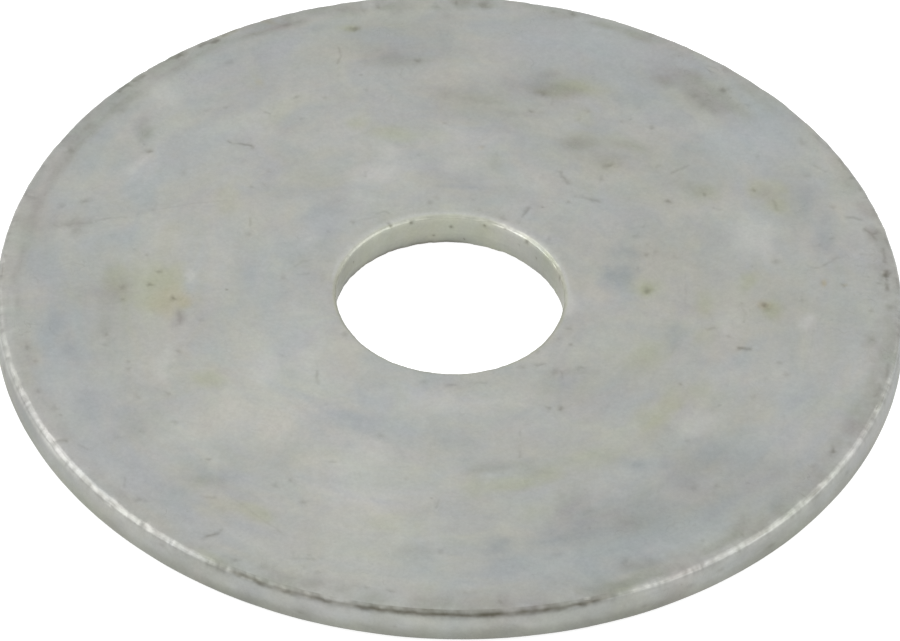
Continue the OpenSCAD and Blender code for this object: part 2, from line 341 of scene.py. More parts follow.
STAIN_PATCHES = [
    (-9.3, -5.4, 0.9, 0.5, 10, 0.6), (4.2, 12, 1.3, 0.55, 0, 1), (12.1, 6.6, 0.7, 0.6, 0, 0.75),
    (12.5, 5.6, 0.5, 0.4, 110, 0.6), (-10.2, -1, 0.45, 0.3, 100, 1), (-11.5, -0.5, 1.9, 1.6, 105, 0.85),
    (-11.2, 2.2, 1.2, 1, 90, 0.35), (-8.9, 5, 0.9, 0.5, 100, 0.5), (-4, 9.6, 0.5, 0.4, 0, 0.7),
    (-2.6, 9.1, 1.1, 0.5, -10, 0.6), (7.8, 0.8, 1, 0.6, 10, 0.6), (7.6, 0.7, 0.4, 0.35, 90, 1),
    (11.45, 1.25, 0.6, 0.4, 90, 0.8), (12.4, -0.3, 0.6, 0.6, 40, 0.8), (9.7, -0.4, 1.2, 0.5, 90, 0.7),
    (9.5, -1.8, 0.8, 0.5, 90, 0.5), (7.5, -3.3, 1.1, 1, 0, 0.6), (8.2, -6, 1.7, 0.55, 62, 0.9),
    (7.6, -6.6, 1.1, 0.7, 65, 0.5), (9.8, -5, 0.8, 0.5, 0, 0.5), (7.2, -7.4, 0.8, 0.7, 20, 0.4),
    (1.1, -10.3, 0.7, 0.6, 90, 0.6), (2.6, -10.3, 1.7, 0.5, 8, 0.7), (4, -9.9, 0.9, 0.5, 15, 0.8),
    (5.7, -9, 1.4, 0.6, 33, 0.5), (3.5, -11.8, 0.8, 0.6, 30, 0.4), (-2, -12.7, 1.2, 0.5, 0, 0.4),
    (-0.8, -12.9, 0.7, 0.5, 0, 0.5), (-8.2, -12.3, 1, 0.5, 0, 0.5), (-6.9, -12.4, 0.7, 0.5, -30, 0.8),
    (-9.2, 14.6, 0.6, 0.2, 30, 0.7), (-4.4, 15.1, 0.4, 0.2, 0, 0.6), (4.9, 8.9, 1, 0.5, -5, 0.5),
    (6.4, 8.9, 1, 0.4, -10, 0.5), (6.1, 7.6, 0.6, 0.5, 0, 0.6), (-8.6, -14.8, 0.9, 0.3, -30, 0.5),
    (6.8, -15.7, 0.7, 0.15, 25, 0.6), (5, 10.5, 0.7, 0.4, 90, 0.4), (9.5, 6.2, 0.6, 0.6, 0, 0.5),
]
SMUDGE_PATCHES = [
    (-12.2, 8.5, 0.9, 0.35, 95, 0.7), (9.4, 12.4, 1.8, 0.6, -40, 0.8), (9.8, 11.6, 0.9, 0.5, -30, 0.9),
    (8.2, 12.8, 0.6, 0.4, -40, 0.7), (4.1, 12, 1.2, 0.5, 0, 0.6), (3.5, 12.8, 0.6, 0.4, 0, 0.6),
    (-2.4, 13.5, 1.5, 0.4, 3, 0.45), (0.2, 11.2, 1.6, 0.5, -8, 0.4), (2.6, 10.5, 1.3, 0.4, -10, 0.35),
    (4.9, 8.8, 1.4, 0.45, -10, 0.5), (6.4, 8.8, 1.2, 0.35, -8, 0.6), (6.1, 7.7, 0.8, 0.6, 0, 0.85),
    (1.6, 7.7, 0.7, 0.25, 90, 0.4), (9.4, 6.6, 1.2, 0.4, -10, 0.4), (7, 15.3, 1, 0.3, -25, 0.7),
    (8.7, 14.6, 0.7, 0.3, -35, 0.6), (10.6, 13.4, 0.6, 0.3, -50, 0.7), (11.5, 12.3, 0.4, 0.4, 0, 0.5),
    (12.2, 6.4, 0.5, 0.35, 100, 0.5), (-13.6, -0.6, 1.5, 0.9, 20, 0.4), (-13.3, -2.7, 0.8, 0.5, 90, 0.4),
    (-14.5, 3.2, 1, 0.4, 8, 0.6), (-14.4, 2.7, 0.4, 0.4, 0, 0.7), (-13.5, 9.9, 0.5, 0.4, 70, 0.7),
    (-14.2, 8.9, 0.5, 0.3, 50, 0.8), (-14.8, 8.2, 0.5, 0.4, 50, 0.6), (-12.7, 10.9, 0.6, 0.4, 50, 0.6),
    (-11, -8, 1.3, 1, 30, 0.35), (-10.3, -1.9, 0.7, 0.3, 85, 0.9), (-8.9, -10.9, 0.8, 0.4, 0, 0.5),
    (1.8, -9.6, 0.9, 0.3, 10, 0.5), (3.3, -9.4, 0.8, 0.4, 10, 0.5), (4.7, -11.4, 0.9, 0.5, 75, 0.45),
    (5.3, -11.3, 0.6, 0.4, 90, 0.5), (6.9, -12.1, 1.2, 0.6, 10, 0.35), (7.4, -14.4, 1, 0.4, 10, 0.6),
    (8.7, -13.9, 0.4, 0.3, 0, 0.6), (11.3, -11.9, 1.1, 0.4, 75, 0.8), (12.6, -9.4, 0.9, 0.5, 50, 0.5),
    (10.4, -13.4, 1.1, 0.25, 38, 1), (9.5, -13.9, 0.6, 0.25, 35, 0.8), (8.2, -14.7, 1, 0.3, 25, 0.8),
    (6.9, -15.5, 0.9, 0.2, 22, 0.8), (7.3, -4.3, 0.9, 0.6, 60, 0.4), (5.2, -4, 0.9, 0.2, 0, 0.4),
    (-0.8, -13.9, 0.9, 0.5, 0, 0.4), (14.9, -7.6, 0.4, 0.4, 0, 0.6), (16.2, -1.8, 0.6, 0.4, 90, 0.8),
    (16.9, 0.1, 0.4, 0.3, 90, 0.7), (16.8, -3.4, 0.6, 0.2, 95, 0.8), (16.5, -4.5, 0.5, 0.25, 105, 0.7),
    (16.3, 4.3, 0.5, 0.4, 90, 0.6), (16.7, 3.1, 0.6, 0.2, 100, 0.7), (-3, 16.4, 1.2, 0.4, 8, 0.6),
    (-0.6, 16.4, 0.8, 0.5, 0, 0.5), (1, 16.7, 0.6, 0.3, 0, 0.8), (5.6, 15.8, 0.9, 0.3, -20, 0.8),
    (0, -16.3, 2, 0.3, 0, 0.4), (3.8, -16.4, 1.8, 0.3, 12, 0.6),
]
# Pale patches of plating; those along the left rim, from (-13.6, -10.3) round to (-17, 1.8), are a painted
# highlight on the drawn-down strip
PALE_AND_LIT_PATCHES = [
    (-3.2, -9.4, 1.4, 0.8, 70, 0.4), (-6.9, -4.4, 1.2, 0.8, 80, 0.5), (-5.2, -3.6, 1, 0.6, 90, 0.4),
    (-7.6, 9, 1, 0.9, 0, 0.6), (-2.7, 8.2, 0.8, 0.6, 90, 0.8), (-3, 6.7, 0.9, 0.6, 20, 0.6),
    (0.2, 7.3, 0.9, 0.7, 0, 0.6), (-3.3, 5.2, 0.8, 0.6, 0, 0.6), (-11.5, 11, 1, 0.6, 100, 0.6),
    (-12.5, 6.4, 0.9, 0.25, 60, 0.9), (-15.2, 2.2, 0.8, 0.3, 90, 0.6), (-11, 2.4, 1, 0.9, 0, 0.6),
    (-9.9, 0.3, 0.5, 0.25, 90, 0.8), (-10.8, -4.6, 1, 0.35, 80, 0.9), (-5.5, 2.6, 0.8, 0.8, 0, 0.6),
    (11.6, 3.8, 1.2, 0.9, 90, 0.7), (12.2, 4.5, 0.6, 0.5, 90, 0.7), (2.9, 6.6, 0.7, 0.6, 0, 0.4),
    (13.8, -0.8, 0.6, 0.3, 65, 1), (10.7, -1.2, 0.9, 0.6, 90, 0.5), (9.8, -6.5, 1.2, 0.6, 20, 0.7),
    (10.5, -4, 0.8, 0.8, 0, 0.5), (12.5, -3.8, 0.8, 0.6, 90, 0.4), (-7.4, -13.8, 1, 0.4, -25, 0.6),
    (-1, -7.2, 0.9, 0.3, 75, 0.6), (0, -6.3, 0.8, 0.5, 90, 0.4), (-13.6, -10.3, 1.4, 0.4, -53, 0.6),
    (-15.4, -7.4, 1.2, 0.35, -65, 0.7), (-16.9, -2, 1.6, 0.3, -85, 0.6), (-17, 1.8, 1, 0.3, 95, 0.5),
    (9.2, 13.6, 0.6, 0.4, -30, 0.5), (12.9, -7.8, 0.9, 0.6, 60, 0.4),
]

# Broad areas: x, y, half length, half width, direction in degrees, then how much lighter and how much
# warmer than the rest, where below 0 is darker and cooler
TONES = [
    (-6.5, -6, 3, 2.2, 60, 1.1, 0), (-3.2, -11.5, 3.8, 2.4, 75, 1.2, 0.3),
    (-2.5, 6.5, 1.6, 1.2, 60, 0.8, -0.6), (11.4, 4, 1.2, 1.1, 80, 0.5, 0.3),
    (0.3, 8.5, 1.8, 1.1, 0, 0.5, 0), (-11.8, 11.3, 1.3, 0.8, 50, 0.8, 0),
    (-12.3, 6.4, 1.4, 0.5, 65, 0.7, -0.6), (-8.4, -4.6, 2.4, 1.8, 90, 0.3, 0.5),
    (-5.8, -2.5, 1.2, 2, 0, 0.4, -0.3), (-10.8, 1.2, 1.8, 2.4, 0, 1, 0.2),
    (7.2, -12.2, 4.2, 1.3, 28, -1, -0.4), (10.3, -9, 2.6, 1.4, 50, -1, 0),
    (9.5, 12.2, 2.2, 1, -40, -1.2, 0), (3.5, 12.1, 1.9, 1, 0, -1.5, 0),
    (-2.3, 13.6, 2.2, 0.9, 0, -0.8, 0.3), (0.4, 11.2, 2.8, 1.1, -8, -0.8, 0.5),
    (5.8, 8.8, 2.4, 1.1, -10, -1.2, 0), (8.3, 2.4, 2.8, 2.8, 0, -0.7, 0.9),
    (7.6, 7.6, 1.9, 1.7, 0, -0.6, 0), (11.2, 9.2, 1.6, 2, -30, 0.5, -0.4), (-7, 7.2, 2.2, 2, 0, -0.3, 0.2),
    (-13.4, -1.5, 1.1, 2.4, 0, -0.5, -0.3), (-9, -10.8, 2, 0.8, 0, -0.5, 0),
    (-9.2, -8.2, 2.6, 1.6, 30, 0.7, 0.8), (-14.2, 9.2, 2.8, 1.1, 52, -0.6, -0.3),
    (-1.5, 15.4, 4.2, 1.3, 5, -1, -0.1), (8.3, -3.6, 1.8, 1.4, 60, -0.7, 0.1),
    (5.4, -5.2, 1.8, 1.4, 20, -0.9, 0), (4.8, -11.3, 0.9, 1.4, 0, -0.6, 0),
    (12.4, -10, 2.6, 1.6, 50, -0.9, -0.5), (5.2, 14.8, 4.4, 1.4, -22, 0.1, -1.3),
    (12.9, -0.2, 1.8, 2.8, 0, -0.4, 0.5), (16, -2.8, 1, 2.2, 0, 0.2, -0.5),
    (1, -14.2, 2.6, 0.8, 8, -0.2, -0.4), (13.5, 6, 1.5, 2.8, 25, -0.9, 0), (-15.7, 3, 0.9, 2.4, 0, -0.8, 0),
    (-10.2, 7.6, 2.6, 1.8, 45, 0.3, -0.9), (-6, 0.4, 1.2, 2.4, 0, 0.2, -0.8),
    (-0.6, -6.2, 3, 1.1, 0, 0.7, -0.4), (-8.2, 12.2, 2.6, 1.6, 42, -0.4, -0.3),
    (5, -15.6, 3.4, 0.8, 18, -0.9, -0.3), (10.2, -6.2, 1.8, 1.3, 0, -0.2, 0.5),
    (10.6, -0.6, 1.8, 2.2, 0, -0.2, 0.6), (-1.4, -13, 2, 1.6, 0, 0.3, 0.2),
    (6.4, 12.6, 2, 1.2, -20, -0.2, -0.8),
]

# Nicks in the outer rim's crest: direction in degrees, half width along the rim, depth
CREST_NICKS = [
    (211, 0.14, 0.05), (217.5, 0.08, 0.03), (223.9, 0.18, 0.09), (229.9, 0.12, 0.06), (234.5, 0.08, 0.04),
    (253.2, 0.2, 0.06), (256, 0.14, 0.04), (261.8, 0.2, 0.04), (272.9, 0.28, 0.05), (287.6, 0.14, 0.06),
    (289.3, 0.16, 0.08), (303, 0.1, 0.03), (314, 0.1, 0.04), (321.6, 0.14, 0.06), (325.8, 0.16, 0.07),
    (341, 0.16, 0.05),
]

# Dark specks on the bore's wall and its upper edge: direction in degrees, height, radius
BORE_SPECKS = [
    (111.5, 1.34, 0.09), (90.8, 0.94, 0.08), (73.7, 1.22, 0.07), (99.5, 0.5, 0.06), (49, 1.28, 0.09),
    (62.5, 1.38, 0.05), (41.3, 0.82, 0.05), (122.8, 1.46, 0.07), (17, 1.3, 0.08), (53.5, 0.9, 0.04),
    (136.8, 0.16, 0.05), (84, 0.3, 0.04), (150, 0.9, 0.05), (201, 1.1, 0.07), (243, 0.7, 0.06),
    (288, 1, 0.08), (322, 0.6, 0.06),
]

# Dents and stains on the outer rim: direction in degrees, height, half width, half height
RIM_SPECKS = [
    (222.8, 1.24, 0.1, 0.05), (233.2, 1.1, 0.22, 0.1), (253, 0.58, 0.1, 0.07), (264.8, 0.72, 0.08, 0.05),
    (296.2, 0.6, 0.16, 0.08), (302.5, 0.76, 0.34, 0.12), (307, 0.88, 0.2, 0.1), (315.2, 0.68, 0.24, 0.1),
    (331, 0.9, 0.18, 0.1), (195, 0.8, 0.2, 0.12), (170, 0.7, 0.22, 0.1), (128, 0.9, 0.18, 0.1),
    (84, 0.62, 0.2, 0.09), (41, 0.8, 0.24, 0.1), (8, 1, 0.16, 0.08),
]


def all_marks():
    """Every pit and scratch as half width, darkness and a broken line."""
    pits = [(radius, dark, [(x, y)]) for x, y, radius, dark in PITS]
    return pits + SCRATCHES


def line_distance(points, line):
    """Distance from each point to a broken line, or to its one point."""
    line = np.asarray(line, float)
    if len(line) == 1:
        return np.hypot(points[:, 0] - line[0, 0], points[:, 1] - line[0, 1])
    best = np.full(len(points), np.inf)
    for start, end in zip(line[:-1], line[1:]):
        along = end - start
        t = ((points[:, :2] - start) @ along) / (along @ along)
        foot = start + np.clip(t, 0, 1)[:, None] * along
        best = np.minimum(best, np.hypot(points[:, 0] - foot[:, 0], points[:, 1] - foot[:, 1]))
    return best


def near_line(points, line, reach):
    """Which points lie in the box round a line, grown by reach."""
    line = np.asarray(line, float)
    low = line.min(0) - reach
    high = line.max(0) + reach
    inside = (points[:, 0] > low[0]) & (points[:, 0] < high[0])
    inside &= (points[:, 1] > low[1]) & (points[:, 1] < high[1])
    return np.flatnonzero(inside)


# The section

def arc(centre, radius, start, end, count):
    """Points on an arc from one angle to another, in degrees."""
    a = np.radians(np.linspace(start, end, count))
    return [(centre[0] + radius * math.cos(t), centre[1] + radius * math.sin(t)) for t in a]


def roll_radius(width, height):
    """Radius of an arc that leaves a face level and falls by height over width."""
    return (width * width + height * height) / (2 * height)


def fillet(before, corner, after, radius, count):
    """Points on the arc that rounds a corner between two straight sides."""
    corner = Vector(corner)
    back = (Vector(before) - corner).normalized()
    ahead = (Vector(after) - corner).normalized()
    half = back.angle(ahead) / 2
    centre = corner + (back + ahead).normalized() * radius / math.sin(half)
    first = corner + back * radius / math.tan(half) - centre
    last = corner + ahead * radius / math.tan(half) - centre
    start = math.degrees(math.atan2(first.y, first.x))
    turn = math.degrees(math.atan2(first.x * last.y - first.y * last.x, first.dot(last)))
    return arc(centre, radius, start, start + turn, count)


def face_height(r):
    """Height of the upper face at radius r, with the strip that is drawn down along the rim."""
    width, drop = DRAW_DOWN
    big = roll_radius(width, drop)
    past = np.clip(r - (CREST_R - width), 0, width)
    return THICKNESS - big + np.sqrt(big * big - past * past)


def spaced(start, end, gap):
    """Numbers from start to end with about gap between them."""
    return np.linspace(start, end, max(2, round(abs(end - start) / gap) + 1))


def crest_profile():
    """The rim's section from the upper face over the worn crest, down to where the close rings end."""
    slope_start, corner_steps = 0.2, 14
    by_corner, face_gap, torn_gap = 0.03, 0.06, 0.055
    draw_slope = (CREST_R - slope_start, face_height(CREST_R - slope_start))
    corner = fillet(draw_slope, (CREST_R, CREST_Z), (OUTER_R, RIM_TORN_Z), WORN_CREST_R, corner_steps)
    face = [(r, float(face_height(r))) for r in spaced(CREST_START_R, corner[0][0] - by_corner, face_gap)]
    torn = [(torn_r(z), z) for z in spaced(corner[-1][1] - by_corner, CREST_END_Z, torn_gap)]
    return face + corner + torn


def torn_r(z):
    """Radius of the outer rim's torn band at height z."""
    return OUTER_R - RIM_LEAN * (z - RIM_TORN_Z) / (CREST_Z - RIM_TORN_Z)


def rim_profile():
    """The rest of the rim's section: torn band, sheared band and rolled lower edge."""
    ring_gap, roll_steps = 0.09, 7
    below_crest, below_torn, above_roll = 0.07, 0.04, 0.01
    width, height = RIM_ROLL
    radius = roll_radius(width, height)
    steep = math.degrees(2 * math.atan2(height, width))
    torn = [(torn_r(z), z) for z in spaced(CREST_END_Z - below_crest, RIM_TORN_Z, ring_gap)]
    sheared = [(OUTER_R, z) for z in spaced(RIM_TORN_Z - below_torn, height + above_roll, ring_gap)]
    roll = arc((OUTER_R - width, radius), radius, steep - 90, -90, roll_steps)
    return torn + sheared + roll


def bore_profile():
    """The bore's section from the lower face up to the upper face."""
    torn_gap, sheared_gap, face_gap = 0.09, 0.08, 0.10
    above_corner, below_tear, above_tear, below_roll, past_roll = 0.06, 0.01, 0.03, 0.07, 0.06
    corner_steps, roll_steps = 4, 9
    width, height = BORE_ROLL
    radius = roll_radius(width, height)
    steep = math.degrees(2 * math.atan2(height, width))
    corner = fillet((MOUTH_R + 1, 0), (MOUTH_R, 0), (BORE_R, BORE_TORN_Z), BORE_CORNER_R, corner_steps)
    slope = (BORE_R - MOUTH_R) / BORE_TORN_Z
    torn_heights = spaced(corner[-1][1] + above_corner, BORE_TORN_Z - below_tear, torn_gap)
    torn = [(MOUTH_R + slope * z, z) for z in torn_heights]
    sheared_heights = spaced(BORE_TORN_Z + above_tear, THICKNESS - height - below_roll, sheared_gap)
    sheared = [(BORE_R, z) for z in sheared_heights]
    roll = arc((BORE_R + width, THICKNESS - radius), radius, 90 + steep, 90, roll_steps)
    face = [(r, THICKNESS) for r in spaced(BORE_R + width + past_roll, BORE_START_R, face_gap)]
    return corner + torn + sheared + roll + face


# The mesh

class Skin:
    """The washer's mesh as it grows: its points, the way out of the metal at each, and its faces."""

    def __init__(self):
        self.points = np.zeros((0, 3))
        self.outward = np.zeros((0, 3))
        self.faces = []

    def add(self, points, outward):
        """Adds points and gives their numbers."""
        first = len(self.points)
        self.points = np.vstack([self.points, points])
        self.outward = np.vstack([self.outward, outward])
        return np.arange(first, len(self.points))

    def add_rings(self, profile, count):
        """Sweeps a section round the axis, and gives the numbers of each of its rings."""
        along = np.gradient(np.array(profile), axis=0)
        along /= np.hypot(along[:, 0], along[:, 1])[:, None]
        angles = np.arange(count) * 2 * np.pi / count
        cos, sin, one = np.cos(angles), np.sin(angles), np.ones(count)
        rings = []
        for (r, z), (along_r, along_z) in zip(profile, along):
            points = np.column_stack([r * cos, r * sin, z * one])
            outward = np.column_stack([-along_z * cos, -along_z * sin, along_r * one])
            rings.append(self.add(points, outward))
        for ring, following in zip(rings[:-1], rings[1:]):
            self.join(ring, following)
        return rings

    def join(self, a, b):
        """Faces between two rings, the second with as many points as the first or half as many."""
        if len(a) == len(b):
            self.faces.append(np.column_stack([a, b, np.roll(b, -1), np.roll(a, -1)]))
            return
        first, middle, last = a[0::2], a[1::2], np.roll(a[0::2], -1)
        following = np.roll(b, -1)
        self.faces.append(np.column_stack([first, b, middle]))
        self.faces.append(np.column_stack([b, following, middle]))
        self.faces.append(np.column_stack([middle, following, last]))

    def fill(self, inner, outer, inside, height, upward):
        """Triangles between two rings, through points of their own."""
        same_place = 1e-6
        r = np.hypot(inside[:, 0], inside[:, 1])
        z = height(r) * np.ones(len(r))
        own = self.add(np.column_stack([inside, z]), np.tile([0, 0, 1 if upward else -1], (len(r), 1)))
        numbers = np.concatenate([inner, outer, own])
        flat = [Vector((x, y)) for x, y in self.points[numbers, :2]]
        loops = [(0, len(inner)), (len(inner), len(outer))]
        edges = [(start + k, start + (k + 1) % size) for start, size in loops for k in range(size)]
        _, _, faces, origin, _, _ = delaunay_2d_cdt(flat, edges, [], 0, same_place)
        back = np.array([o[0] for o in origin])
        faces = back[np.array(faces)]
        faces = faces[(faces >= len(inner)).any(1)]
        if not upward:
            faces = faces[:, ::-1]
        self.faces.append(numbers[faces])


def lattice(gap, low, high):
    """Points of a triangular lattice inside a box. The same gap always gives the same lattice."""
    row_gap = gap * math.sqrt(3) / 2
    rows = np.arange(math.floor(low[1] / row_gap), math.ceil(high[1] / row_gap) + 1)
    columns = np.arange(math.floor(low[0] / gap) - 1, math.ceil(high[0] / gap) + 1)
    i, j = np.meshgrid(columns, rows)
    return np.column_stack([((i + 0.5 * (j % 2)) * gap).ravel(), (j * row_gap).ravel()])


def distinct(points):
    """The points without those that come twice."""
    return np.unique(np.round(points, PLACE_DIGITS), axis=0)


def clearance(points, marks):
    """How far each point is from the edge of the nearest mark, up to 1 mm."""
    furthest = 1.0
    best = np.full(len(points), furthest)
    for half, _, line in marks:
        near = near_line(points, line, furthest)
        best[near] = np.minimum(best[near], line_distance(points[near], line) - half)
    return best


def lattice_near(gap, marks, reach):
    """Lattice points within reach of any mark."""
    parts = []
    for half, _, line in marks:
        low = np.min(line, 0) - half - reach
        high = np.max(line, 0) + half + reach
        points = lattice(gap, low, high)
        parts.append(points[line_distance(points, line) < half + reach])
    return distinct(np.vstack(parts))


def face_points(marks):
    """Points for the upper face: wide apart on it, closer along the rim and closest on marks."""
    wide, mid, fine = 0.26, 0.13, 0.055
    fine_reach, mid_reach = 0.07, 0.22
    strip_r, by_ring = 16.2, 0.05
    box = ((-OUTER_R, -OUTER_R), (OUTER_R, OUTER_R))
    far = lattice(wide, *box)
    far_clear = clearance(far, marks)
    far = far[(far_clear > mid_reach) & (np.hypot(far[:, 0], far[:, 1]) < strip_r)]
    strip = lattice(mid, *box)
    strip = strip[np.hypot(strip[:, 0], strip[:, 1]) >= strip_r]
    close = np.vstack([lattice_near(mid, marks, mid_reach), strip])
    close = distinct(close)
    close = close[clearance(close, marks) > fine_reach]
    closest = lattice_near(fine, marks, fine_reach)
    points = np.vstack([far, close, closest])
    r = np.hypot(points[:, 0], points[:, 1])
    return points[(r > BORE_START_R + by_ring) & (r < CREST_START_R - by_ring)]


def build_skin():
    """The whole washer, before it is worn."""
    skin = Skin()
    crest = skin.add_rings(crest_profile(), CREST_COUNT)
    rim = skin.add_rings(rim_profile(), RIM_COUNT)
    bore = skin.add_rings(bore_profile(), BORE_COUNT)
    skin.join(crest[-1], rim[0])
    skin.fill(bore[-1], crest[0], face_points(all_marks()), face_height, True)
    skin.fill(bore[0], rim[-1], lower_face_points(), lambda r: 0 * r, False)
    return skin


def lower_face_points():
    """Points for the lower face, far apart."""
    gap, by_bore, by_roll = 0.75, 0.35, 0.2
    points = lattice(gap, (-OUTER_R, -OUTER_R), (OUTER_R, OUTER_R))
    r = np.hypot(points[:, 0], points[:, 1])
    return points[(r > BORE_R + by_bore) & (r < OUTER_R - RIM_ROLL[0] - by_roll)]


# Wear, and painted light and shade. Every depth is into the metal, so the washer never grows past the
# imported solid. A tone of 1 makes the metal a tenth lighter; on the rims and bore most tones are painted
# light and shade.

# Edges of the section that wear or catch the light: radius and height
CREST = (CREST_R, CREST_Z)
BORE_MOUTH = (MOUTH_R, 0)
BORE_EDGE = (BORE_R + 0.02, THICKNESS - 0.06)
BORE_SHOULDER = (BORE_R + 0.06, THICKNESS - 0.03)
BORE_GLINT = (BORE_R + 0.02, THICKNESS - 0.09)

# Arcs round the washer, with the camera at 270: start, end and softness in degrees
# Where the crest's fold is deepest and its painted shade darkest
FOLD_SHADE_ARC = (245, 288, 5)
CREST_FLECK_ARC = (240.8, 243.2, 1.2)
# Where the crest's colour is painted darker, as shade that dims its highlight
SHADED_CREST_ARCS = [(184, 207, 5), (240.5, 243.5, 1.5)]
# Where the painted highlight below the crest lies, and where it stops
LIT_LEFT_ARC = (188, 214, 10)
LIT_FRONT_ARC = (214, 338, 10)
UNLIT_ARC = (240, 292, 8)
RIM_BLOTCH_ARC = (200, 205.5, 4)
# Where the rim's wall is painted in shade, low down or all the way up, and where it carries a painted
# highlight
RIM_LOW_SHADE_ARC = (244, 296, 18)
RIM_SHADED_RIGHT_ARC = (290, 352, 10)
RIM_SHADED_LEFT_ARC = (180, 204, 8)
RIM_LIT_ARC = (186, 212, 9)
BORE_WORN_ARC = (24, 68, 6)
# Arcs of painted light and shade on the bore's wall
BORE_FOOT_SHADE_ARC = (88, 175, 15)
BORE_SHADED_ARC = (166, 190, 22)
BORE_LIT_FAR_ARC = (52, 130, 14)
BORE_SHADED_RIGHT_ARC = (10, 40, 8)
BORE_LIT_ARC = (24, 70, 6)
BORE_GLINT_ARC = (52, 156, 8)
# Where the bore's lower edge is painted darkest in shade
BORE_MOUTH_SHADE_ARC = (92, 168, 14)
# Where the pale ring round the bore is painted as a highlight
BORE_RING_HIGHLIGHT_ARC = (-8, 168, 8)
STRIP_LINE_ARC = (112, 196, 8)
# The same, then how dirty the strip along the rim is there
STRIP_DIRT = [
    (-62, 20, 15, 0.85), (58, 88, 8, 0.6), (88, 108, 8, 0.9), (112, 150, 8, 0.8), (250, 292, 10, 1.0),
]


def by_edge(r, z, edge, width):
    """1 at an edge of the section, falling off over about width."""
    return hump(np.hypot(r - edge[0], z - edge[1]), width)


def stretched(points, r):
    """The points in a space that is drawn out round the washer, for noise in strokes that follow it."""
    across = 1.6
    return np.column_stack([STROKE_SCALE * points[:, 0] / r, STROKE_SCALE * points[:, 1] / r, across * r])


def soft_patches(points, r, patches, seed, waver=0.5):
    """Patches with wavering, feathered edges, as a strength from 0 to 1 at each point."""
    warp_size, stroke_size, stroke_share = 1.9, 1.0, 0.8
    reach, least_waver, fade_start, fade_end = 2.2, 0.25, 0.15, 1.35
    total = np.zeros(len(points))
    warp_x = rough_noise(points, warp_size, seed, octaves=5)
    warp_y = rough_noise(points, warp_size, seed + 5, octaves=5)
    strokes = stroke_share * rough_noise(stretched(points, r), stroke_size, seed + 9, octaves=4)
    for x, y, long_half, short_half, angle, strength in patches:
        near = near_line(points, [(x, y)], reach * max(long_half, short_half))
        waver_mm = waver * (least_waver + math.sqrt(long_half * short_half))
        warped_x = points[near, 0] + waver_mm * warp_x[near]
        warped_y = points[near, 1] + waver_mm * warp_y[near]
        away = oval_distance(warped_x, warped_y, (x, y), long_half, short_half, angle)
        fade = 1 - ramp(away + strokes[near], fade_start, fade_end)
        total[near] = np.maximum(total[near], strength * fade)
    return total


def oval_distance(x, y, middle, long_half, short_half, angle):
    """How far points are from the middle of an oval, where 1 is its edge."""
    a = math.radians(angle)
    dx, dy = x - middle[0], y - middle[1]
    u = (dx * math.cos(a) + dy * math.sin(a)) / long_half
    v = (-dx * math.sin(a) + dy * math.cos(a)) / short_half
    return np.hypot(u, v)


def broad_tones(points, r):
    """How much lighter and warmer the broad areas of the upper face are at each point."""
    warp, warp_size, spread = 0.9, 2.2, 0.95
    tone_share, mean_tone, warmth_share = 0.4, -0.09, 0.5
    x = points[:, 0] + warp * rough_noise(points, warp_size, seed=141, octaves=5)
    y = points[:, 1] + warp * rough_noise(points, warp_size, seed=149, octaves=5)
    tone = tone_share * rough_noise(stretched(points, r), 1.6, seed=151, octaves=4) + mean_tone
    warmth = warmth_share * rough_noise(points, 2.6, seed=157, octaves=4)
    for middle_x, middle_y, long_half, short_half, angle, lighter, warmer in TONES:
        share = hump(oval_distance(x, y, (middle_x, middle_y), long_half, short_half, angle), spread)
        tone += lighter * share
        warmth += warmer * share
    return tone, warmth


def mark_values(points, upper):
    """Depth and darkness that pits and scratches give the upper face."""
    least_depth, more_depth, darkest, darkness_power = 0.10, 0.14, 0.70, 1.3
    sway_share, widening, spread_share, reach = 1.1, 1.15, 0.5, 3
    depth_spread, dark_spread = 0.95, 0.9
    depth = np.zeros(len(points))
    dark = np.zeros(len(points))
    sway = np.column_stack([rough_noise(points, 0.5, seed) for seed in (90, 91)])
    spread = rough_noise(points, 0.15, seed=93, octaves=2)
    broken = np.clip(0.75 + 0.9 * rough_noise(points, 0.32, seed=97, octaves=2), 0.1, 1.2)
    for half, darkness, line in all_marks():
        near = near_line(points, line, half * reach)
        near = near[upper[near]]
        swayed = points[near, :2] + sway_share * half * sway[near]
        away = line_distance(swayed, line) / (widening * half * (1 + spread_share * spread[near]))
        deepest = (least_depth + more_depth * darkness) * half
        depth[near] = np.maximum(depth[near], deepest * hump(away, depth_spread))
        share = darkest * darkness**darkness_power * (broken[near] if len(line) > 1 else 1)
        dark[near] = np.maximum(dark[near], share * hump(away, dark_spread))
    return depth, dark


def arc_gap(degrees, middle, r):
    """Distance round the rim from a direction, at radius r."""
    return np.radians((degrees - middle + 180) % 360 - 180) * r


def crest_fold_and_shade(points, r, z):
    """Strength of the thin dark line where the crest is folded over: a real groove, darkened by dirt and by
    painted shade.
    """
    mean_z, sway, half_thickness, reach = 1.385, 0.05, 0.10, 0.30
    flat = points * [1, 1, 0]
    line_z = mean_z + sway * rough_noise(flat, 0.35, seed=43)
    thick = half_thickness * (1 + 0.3 * rough_noise(flat, 0.6, seed=45))
    worn = np.clip(1.1 + rough_noise(points * [1, 1, 0.3], 0.9, seed=47, octaves=4), 0.75, 1.6)
    return hump((z - line_z) / thick) * (r > CREST_R - reach) * worn


